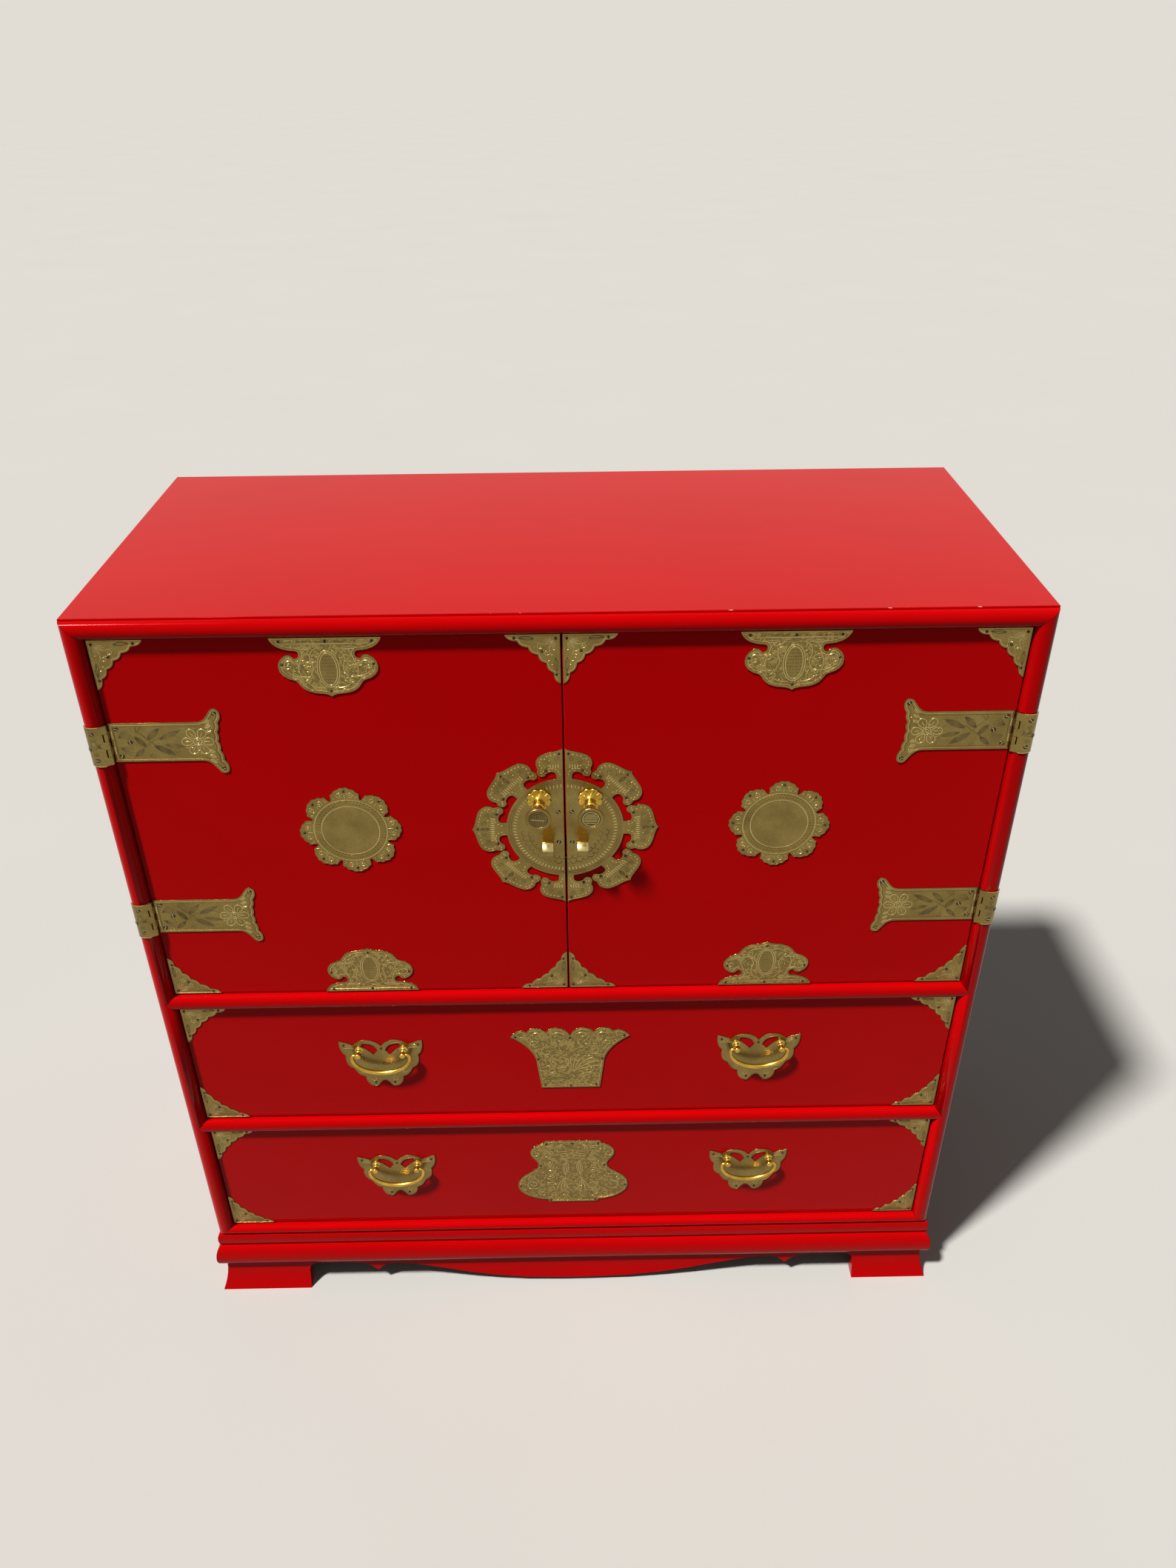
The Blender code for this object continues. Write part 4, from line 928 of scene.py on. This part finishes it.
def medallion(door, sx):
    """The round plate of a door: two rings with beads between them, and scrolls on the petals."""
    form = bmesh.new()
    lean = -sx * 2.6
    outline = turned(medallion_outline(), lean)
    rings = [arc((0, 0), radius, 0, 360, 60) for radius in (34.2, 43.2)]
    own = both([curl((6.5, 50), 4, 200, 1), [(12, 45), (15, 47.5)]]) + [[(0, 44.5), (0, 51)]]
    scrolls, nails = [], []
    for petal in range(8):
        scrolls += [turned(turned(line, 45 * petal), lean) for line in own]
        nails += turned([(0, 55)], 45 * petal + lean)
    spot = Spot(sx * MOUNT_X, MEDALLION_Z)
    commas = comma_ground(inside(outline, 3), 6, 3, lambda x, y: math.hypot(x, y) < 46)
    plate(form, spot, [outline], 1.3, 0, (commas, 1.6), (scrolls, 1.7), lines=rings, nails=nails)
    beads = bmesh.new()
    bead_size = Matrix.Diagonal((1.9 * MM, 0.7 * MM, 2.0 * MM, 1))
    bead_depth = PLATE_FRONT + 0.2 * MM
    for radius, count in ((36.9, 58), (40.5, 64)):
        for bead in range(count):
            at = spot.at(turned([(radius, 0)], 360 / count * bead), bead_depth)[0]
            where = Matrix.Translation(at) @ Matrix.Rotation(-math.tau / count * bead, 4, "Y")
            bmesh.ops.create_cube(beads, size=1, matrix=where @ bead_size)
    join(form, beads, PLAIN)
    mount(door, "petal_medallion", form, "medallion")


def lobe_half():
    """Right half of a lock-plate lobe, from its neck to its tip."""
    half = path(
        (0.273, 0.118),
        ((0.30, 0.26), (0.52, 0.24), (0.63, 0.164)),
        ((0.66, 0.03), (0.94, 0.02), (0.955, 0.211)),
        ((0.918, 0.341),),
        ((1.03, 0.449), (1.015, 0.669), (0.788, 0.779)),
        ((0.485, 0.902), (0.182, 0.877), (0, 1)),
        steps=6,
    )
    neck = (NECK_HALF, math.sqrt(DISC_RADIUS**2 - NECK_HALF**2))
    return [neck] + shifted(scaled(half, 33, 40.8), 0, DISC_RADIUS)


def lock_outline():
    """Right half of the lock plate: half a disc with lobes every 45 degrees, the end ones cut by the gap."""
    half = lobe_half()
    whole = half[:-1] + scaled(half, -1)[::-1]
    neck = math.degrees(math.asin(NECK_HALF / DISC_RADIUS))
    points = scaled(half, 1, -1)[::-1]
    for angle in (-90, -45, 0, 45):
        points += arc((0, 0), DISC_RADIUS, angle + neck, angle + 45 - neck, 8)[1:-1]
        points += turned(whole, angle - 45) if angle < 45 else half
    return [(max(x, GAP_HALF), y) for x, y in points]


def past_gap(outline):
    """The lock plate's half outline closed well past the gap, so that lines inside it run on to the gap."""
    return outline + [(-12, outline[-1][1]), (-12, outline[0][1])]


def lock_rim(outline, width):
    """The rim of the lock plate, which stops at the gap between the doors."""
    inner = [p for p in inside(past_gap(outline), width) if p[0] > 1.7]
    return outline + [(GAP_HALF, inner[-1][1])] + inner[::-1] + [(GAP_HALF, inner[0][1])]


def lock_lines(outline):
    """Rings, ticks and scales on the disc, and on each lobe a dashed border round curls."""
    lobes_start, clear_of_gap = 74, 3
    bright = [turned([(57.5, -0.4), (61.8, 0.4)], 4.1 * step) for step in range(-21, 22)]
    for dash in dashes(inside(past_gap(outline), 4.2), 2.4, 1.2):
        if Vector(dash[0]).length > lobes_start and min(p[0] for p in dash) > clear_of_gap:
            bright.append(dash)
    fine = [arc((0, 0), radius, -88, 88, 48) for radius in (64.0, 66.4)]
    for row, radius in enumerate((42, 49)):
        for step in range(9):
            middle = -84 + step * 9 + row * 4.5
            centre = turned([(radius, 0)], middle)[0]
            fine.append(arc(centre, 3.7, middle - 100, middle + 100, 7))
    comb = [path((x, 83.5), ((x + 1, 85), (x + 1, 87), (x * 1.04, 89)), steps=3) for x in range(-15, 16, 3)]
    lobe = both([curl((8, 96), 3.6, 160, -1), curl((19, 93), 3.4, 200, 1), curl((22, 81), 2.6, 90, 1)])
    lobe += leaf((0, 90), (0, 101), 3.4, 5)
    for angle in (-90, -45, 0, 45, 90):
        for lines, kept in ((comb, bright), (lobe, fine)):
            moved = [turned(line, angle - 90) for line in lines]
            kept += [line for line in moved if min(p[0] for p in line) > clear_of_gap]
    return bright, fine


def lock_nails():
    """Three nails on each whole lobe, and two on each half lobe at the gap."""
    spots = []
    for angle in (-45, 0, 45):
        spots += turned([(0, 104)] + mirrored([(21, 80.5)]), angle - 90)
    for sign in (1, -1):
        spots += [(5.5, sign * 103), (21, sign * 80.5)]
    return spots


def staple(form, sx):
    """A strip bent out of the plate, down and back to it, its top and slope given paler brasses as a painted
    highlight.
    """
    wide, half, out, strip, bend = 13.2, 8.0, 29.0, 3.0, 2.6
    outer = [(0, half), (20, half), (21.2, half - 0.3), (28.3, 2.0), (out, 0.6)]
    outer += arc((out - bend, bend - half), bend, 0, -90, 5) + [(0, -half)]
    eye = [(0, strip - half), (out - strip, strip - half), (out - strip, -0.6)]
    eye += [(19.3, half - strip), (0, half - strip)]
    x = sx * STAPLE_X - wide / 2 * MM
    strap = bmesh.new()
    section = [strap.verts.new((x, SHEET_FRONT - u * MM, STAPLE_Z + v * MM)) for u, v in outer + eye]
    draw_out(strap, strap.faces.new(section), (wide * MM, 0, 0))
    borders = [e for e in strap.edges if any(len(f.verts) > 4 for f in e.link_faces)]
    soften(strap, borders, 0.6 * MM, 2)
    strap.normal_update()
    # Faces that turn upwards get the paler brasses: a painted highlight where the light falls from above
    for face in strap.faces:
        face.material_index = BRIGHT if face.normal.z > 0.95 else RUBBED_AND_HIGHLIGHT if face.normal.z > 0.3 else PLAIN
    join(form, strap, None)


def lock_plate(door, sx):
    """A door's half of the round lock plate, with its screws and staple."""
    form = bmesh.new()
    rim = 1.5
    outline = lock_outline()
    bright, fine = lock_lines(outline)
    spot = Spot(0, LOCK_Z, sx, 1)
    lobes = [p for p in inside(outline, 6) if p[0] > 6]
    commas = comma_ground(lobes, 6.5, 8, lambda x, y: math.hypot(x, y) < 90)
    marks = {"rims": [[lock_rim(outline, rim)]], "fine": fine, "nails": lock_nails()}
    plate(form, spot, [outline], rim, 0, (commas, 1.6), **marks)
    ridges(form, spot, bright, 1.4, SHEET_FRONT, RUBBED_AND_HIGHLIGHT)
    for turn, at in zip((30, 110), spot.at([(8, 23.5), (8, -20)], PLATE_FRONT + 0.1 * MM)):
        screw(form, Matrix.Translation(at), turn)
    staple(form, sx)
    mount(door, "lock_plate", form, "roundel")


def knob_profile():
    """A round face with a raised border, a neck with a collar and a foot that flares, from the face down."""
    profile = [(0, 43.0), (10.6, 43.0), (11.1, 43.7), (11.9, 44)] + arc((13.6, 42.9), 1.1, 90, 0, 5)
    under = ((14.6, 39.4), (14.2, 38.9), (13.4, 38.7)), ((9, 38), (6, 36.5), (5.2, 31))
    profile += path((14.7, 40.2), *under, steps=6)
    profile += [(4.9, 20.6)] + arc((4.7, 17.4), (1.7, 2.2), 70, -70, 7)
    flare = ((4.2, 12), (4.5, 9), (6.4, 6.4)), ((7.8, 4.8), (10.4, 3.6), (13.4, 3.2))
    profile += path((4.5, 14.6), *flare, steps=8)
    profile += arc((13.4, 1.9), (1.4, 1.3), 80, 0, 4) + [(14.8, -0.3), (0, -0.3)]
    return scaled(profile, MM, MM)


def petalled_knob(turning):
    """Draws the flared foot in to eight petals and gives the face, its edge and the rest their brasses. The
    edge's paler brass is partly handling wear and partly a painted highlight.
    """
    foot_top, rim_top, start, fade = 8 * MM, 1 * MM, 7.5 * MM, 5 * MM
    draw, rise = 0.15, 1.2 * MM
    border, edge_height, edge_radius = 43.3 * MM, 38.6 * MM, 12 * MM
    for vert in turning.verts:
        out, across = -vert.co.y, math.hypot(vert.co.x, vert.co.z)
        if out < foot_top and across > start:
            share = min(1, (across - start) / fade)
            dip = (1 - abs(math.sin(4 * math.atan2(vert.co.z, vert.co.x)))) ** 1.6 * share
            vert.co.x *= 1 - draw * dip
            vert.co.z *= 1 - draw * dip
            vert.co.y += rise * dip * (out > rim_top)
    for face in turning.faces:
        middle = face.calc_center_median()
        out, across = -middle.y, math.hypot(middle.x, middle.z)
        # The disc's edge takes the paler brass: partly handling wear, partly a painted highlight
        edge = out > edge_height and across > edge_radius
        face.material_index = PLAIN if out > border else RUBBED_AND_HIGHLIGHT if edge else BRIGHT


def knob(door, sx):
    """The turned knob on its petalled foot, with bars across a darkened face."""
    form = bmesh.new()
    foot, face_height, bar_height = 0.3 * MM, 42.9 * MM, 0.4 * MM
    x = sx * KNOB_X
    base = PLATE_FRONT - foot
    face = base - face_height
    disc = scaled([(0, 0.3), (10.4, 0.3), (10.8, 0), (0, 0)], MM, MM)
    lathe(form, knob_profile(), (x, base, KNOB_Z), 80, None, petalled_knob)
    lathe(form, disc, (x, face, KNOB_Z), 48, DARK)
    bars = [arc((0, 0), 9.4, 0, 360, 40)]
    for bar in (-5.5, -3.3, -1.1, 1.1, 3.3, 5.5):
        half = math.sqrt(7.9**2 - bar**2)
        bars.append([(-half, bar), (half, bar)])
    cross, turn, bar_finish = [], 0, RUBBED_AND_HIGHLIGHT
    if sx < 0:
        cross = dashes([(-0.5, -8.5 + 0.25 * step) for step in range(69)], 1.9, 0.3)
        turn, bar_finish = 84, PLAIN
    spot = Spot(x, KNOB_Z)
    for lines, radius, index in ((bars, 0.5, bar_finish), (cross, 0.7, RUBBED_AND_HIGHLIGHT)):
        wires(form, [spot.at(turned(line, turn), face - bar_height) for line in lines], radius * MM, index)
    mount(door, "turned_knob", form, "knob")


def door_brass():
    for side, sx in SIDES:
        for make in (clouds, medallion, lock_plate, knob):
            make(f"{side}_door", sx)


# Drawer brass


def butterfly_outlines():
    """A butterfly plate, its wing tips level with Y 0, and the opening under each feeler."""
    outer = path(
        (0, -0.124),
        ((0.08, -0.03), (0.20, 0.015), (0.36, 0.012)),
        ((0.50, 0.010), (0.60, -0.03), (0.667, -0.094)),
        ((0.76, -0.05), (0.87, -0.03), (1, 0)),
        ((1.02, -0.13), (0.98, -0.25), (0.874, -0.318)),
        ((0.91, -0.43), (0.87, -0.55), (0.72, -0.596)),
        ((0.66, -0.65), (0.63, -0.76), (0.46, -0.784)),
        ((0.47, -0.90), (0.36, -1), (0.235, -1)),
        ((0.14, -1), (0.11, -0.86), (0, -0.864)),
        steps=7,
    )
    hole = path(
        (0.094, -0.206),
        ((0.13, -0.10), (0.27, -0.05), (0.468, -0.059)),
        ((0.45, -0.088),),
        ((0.486, -0.118),),
        ((0.35, -0.18), (0.27, -0.25), (0.198, -0.30)),
        steps=6,
    )
    outer, hole = scaled(outer, 55.5, 84.8), scaled(hole, 55.5, 84.8)
    return [symmetric(outer), hole, scaled(hole, -1)]


def post_profile():
    """A ring-turned post from its rounded end down to the plate, its radii in shares of the widest part."""
    radius, top, dome = 4.2, 14.5, 2.2
    shares = [(0, top)] + arc((0.3, top - dome), (0.7, dome), 80, 0, 5)
    shares += [(1, 7.6), (0.86, 7.0), (0.72, 6.2), (0.8, 5.6), (0.98, 5.0), (1, 4.2), (0.93, 3.4)]
    shares += [(0.78, 2.7), (0.84, 1.8), (1.05, 0.9), (1.35, 0.3), (1.4, -0.3), (0, -0.3)]
    return scaled(shares, radius * MM, MM)


def bail(drawer, side, x, z):
    """A crescent handle, thickest in the middle, with its ends turned in to the posts."""
    half, bend, drop, pin, middle = 38.5, 6.0, 33.0, 1.9, 3.3
    right = [(27.7, 0, pin), (34.0, 0, pin)]
    for i, (u, v) in enumerate(arc((34.6, -4), (3.9, 4), 84, 6, 6)):
        right.append((u, v, pin + 0.12 * (i + 1)))
    for u, v in arc((0, -bend), (half, drop - bend), 0, -90, 16):
        right.append((u, v, middle * (1 - 0.18 * u / half)))
    line = right + [(-u, v, thick) for u, v, thick in reversed(right[:-1])]
    form = bmesh.new()
    wires(form, [[(x + u * MM, BAIL_Y, z + v * MM, thick) for u, v, thick in line]], MM, 0, sides=4)
    body = f"{drawer}_{side}_bail"
    piece(f"{drawer}_{side}_crescent_bail", form, [CAST], body, "brass", body)


def pulls():
    """Butterfly plates with two posts each, and the bails that swing between the posts."""
    loops = butterfly_outlines()
    nails = mirrored([(50, -8), (13, -78)]) + [(0, -14.5)]
    tails = [curl((15.5, -71), 5, 90, 1, 1.0), curl((28, -56), 4.5, 20, -1, 1.0)]
    wings = both(spray((36, -15), 28, 15, 4, 1.5) + tails)
    commas = comma_ground(inside(loops[0], 4), 6.5, 12, lambda x, y: y > -50 and abs(x) < 40)
    for level in DRAWERS:
        for side, sx in SIDES:
            drawer, x, tips = f"{level}_drawer", sx * MOUNT_X, PULL_TIPS[level]
            spot = Spot(x, tips)
            form = bmesh.new()
            plate(form, spot, loops, 1.0, 0, (commas, 1.5), (wings, 1.5), nails=nails)
            for at in spot.at(mirrored([(POST_X, -POST_DROP)]), PLATE_FRONT):
                lathe(form, post_profile(), at, 20, BRIGHT)
            mount(drawer, f"{side}_butterfly_plate", form, f"{side}_pull")
            bail(drawer, side, x, tips - POST_DROP * MM)


def crown_outline():
    half = path(
        (0, 0.016),
        ((0.075, 0.19), (0.31, 0.20), (0.40, 0.078)),
        ((0.44, 0.155), (0.66, 0.21), (0.722, 0.083)),
        ((0.79, 0.14), (0.90, 0.125), (1, 0)),
        ((0.80, -0.10), (0.63, -0.25), (0.575, -0.44)),
        steps=8,
    )
    return symmetric(scaled(half, 80.3, 96.0) + [(40.3, -96.0)])


def crown_lines():
    """A scroll and a plume between smaller scrolls, notched wings, and a zigzag along the foot."""
    side = [curl((31, -27), 11, 150, -1, 1.2), curl((27, -63), 8, 60, 1, 1.1)]
    side += [curl((50, -13), 7, 200, -1, 1.0), arc((16, -4), 11, 20, 160, 8), arc((44, -3), 10, 20, 150, 8)]
    side += dashes(path((66, -4), ((53, -10), (43, -22), (38, -38)), steps=40), 3.2, 1.2)
    plume = [curl((-12, -46), 19, 60, 1, 1.5, steps=28)] + spray((4, -66), 60, 42, 7, 5)
    plume += leaf((-30, -70), (-8, -74), 3, 2) + leaf((10, -73), (30, -69), 3, 2)
    foot = []
    for step in range(-4, 4):
        foot += [(step * 9.5, -87), (step * 9.5 + 4.75, -81)]
    foot.append((38, -87))
    return both(side) + plume + [foot, [(-38, -90), (38, -90)]]


def gourd_outline():
    upper, waist, lower, top, foot = 60.5, 49.5, 80.5, 39.3, 35.0
    half = path(
        (top, 0),
        ((top + 2.7, -0.038),),
        ((upper * 0.86, -0.057), (upper, -0.115), (upper, -0.185)),
        ((upper, -0.275), (waist, -0.305), (waist, -0.382)),
        ((waist, -0.50), (lower, -0.52), (lower, -0.718)),
        ((lower, -0.87), (foot * 1.6, -0.955), (foot + 2.7, -0.962)),
        ((foot, -1),),
        steps=8,
    )
    return symmetric(scaled(half, 1, 131))


def gourd_lines():
    """Two stacks of bars over sheaves in the middle, leaves beside them and large scrolls in the lobes."""
    side = [[(5 + row % 2, -21 - 5 * row), (19, -22 - 5 * row)] for row in range(4)]
    side += leaf((9, -42), (11, -72), 6, 4) + spray((12, -80), -90, 34, 4, 4) + spray((14, -6), -60, 13, 3, 2)
    for row in range(8):
        y = -14 - 13 * row
        side += leaf((24 + row % 2 * 3, y), (38 - row % 3 * 3, y + 3 + row % 2 * 5), 3, 2)
    side += [curl((58, -92), 13, 120, 1, 1.6, steps=26)]
    side += [curl((52, -26), 7, 60, -1, 1.2), curl((47, -112), 6, 200, -1, 1.1)]
    return both(side)


def drawer_plate(drawer, label, z, outline, lines, nails, seed, bare):
    """The plate in the middle of a drawer, chased over a ground of commas."""
    form = bmesh.new()
    spot = Spot(0, z)
    commas = comma_ground(inside(outline, 7), 8, seed, bare)
    plate(form, spot, [outline], 1.6, 1.2, (commas, 1.9), (lines, 2.2), nails=nails, index=WORKED)
    mount(f"{drawer}_drawer", f"{label}_plate", form, "plate")


def drawer_plates():
    """A crown on the upper drawer and a gourd on the lower."""
    crown_nails = mirrored([(73, 0), (43.5, -42), (35, -91)]) + [(0, -3), (0, -92)]
    gourd_nails = mirrored([(37, -6), (46, -52), (76.5, -96), (33, -128)]) + [(0, -5)]
    crown = crown_outline(), crown_lines(), crown_nails, 4, lambda x, y: y < -76
    gourd = gourd_outline(), gourd_lines(), gourd_nails, 9, lambda x, y: abs(x) < 20 and y > -76
    drawer_plate("upper", "crown", CROWN_TIPS_Z, *crown)
    drawer_plate("lower", "gourd", GOURD_TOP_Z, *gourd)


# Studio


def camera():
    """The photograph's viewpoint, solved from the straight edges of the case."""
    focal_pixels, width_pixels, sensor = 1620.9, 1588, 36
    place = (0.0144, -1.3847, 1.6569)
    data = bpy.data.cameras.new("portrait")
    data.sensor_fit = "HORIZONTAL"
    data.sensor_width = sensor
    data.lens = sensor * focal_pixels / width_pixels
    data.clip_start = 0.05
    right = Vector((0.99984148, -0.01603292, -0.00774368))
    down = Vector((-0.01514821, -0.53742892, -0.84317299))
    ahead = Vector((0.00935684, 0.84315663, -0.53758660))
    eye = bpy.data.objects.new("portrait", data)
    turn = Matrix((right, -down, -ahead)).transposed().to_4x4()
    eye.matrix_world = Matrix.Translation(place) @ turn
    bpy.context.scene.collection.objects.link(eye)
    bpy.context.scene.camera = eye


def seen_directly(tree):
    """1 where the camera, a reflection or glass sees the surface, 0 where it only lights the chest."""
    rays = add(tree, "LightPath").outputs
    seen = rays["Is Camera Ray"]
    for other in ("Is Glossy Ray", "Is Transmission Ray"):
        seen = add(tree, "Math", {0: seen, 1: rays[other]}, operation="MAXIMUM").outputs[0]
    return seen


def studio():
    """A pale floor, an even pale surround and one soft sun from the upper left front."""
    values = {"Roughness": 0.9, "Specular IOR Level": 0.0}
    made, tree, at = finish("matt_paper_floor", values)
    pale = blend(tree, noise(tree, at, 600, 2.0), "A8A59F", "ABA8A2")
    dress(made, blend(tree, seen_directly(tree), "666563", pale))
    form = bmesh.new()
    bmesh.ops.create_grid(form, x_segments=2, y_segments=2, size=200)
    mesh = bpy.data.meshes.new("floor")
    form.to_mesh(mesh)
    form.free()
    mesh.materials.append(made)
    floor = bpy.data.objects.new("floor", mesh)
    bpy.context.scene.collection.objects.link(floor)

    world = bpy.data.worlds.new("surround")
    world.use_nodes = True
    bpy.context.scene.world = world
    tree = world.node_tree
    light = (0.19, 0.19, 0.19, 1)
    shown = blend(tree, seen_directly(tree), light, "E1DDD5")
    tree.links.new(shown, tree.nodes["Background"].inputs["Color"])

    data = bpy.data.lights.new("window", "SUN")
    data.energy = 6.2
    data.angle = math.radians(5)
    sun = bpy.data.objects.new("window", data)
    up, left = math.radians(59), math.radians(53)
    to_light = Vector((-math.cos(up) * math.sin(left), -math.cos(up) * math.cos(left), math.sin(up)))
    sun.matrix_world = to_light.to_track_quat("Z", "Y").to_matrix().to_4x4()
    bpy.context.scene.collection.objects.link(sun)
    bpy.context.scene.view_settings.view_transform = "Standard"


camera()
studio()
boards()
mouldings()
corner_plates()
hinges()
door_brass()
pulls()
drawer_plates()
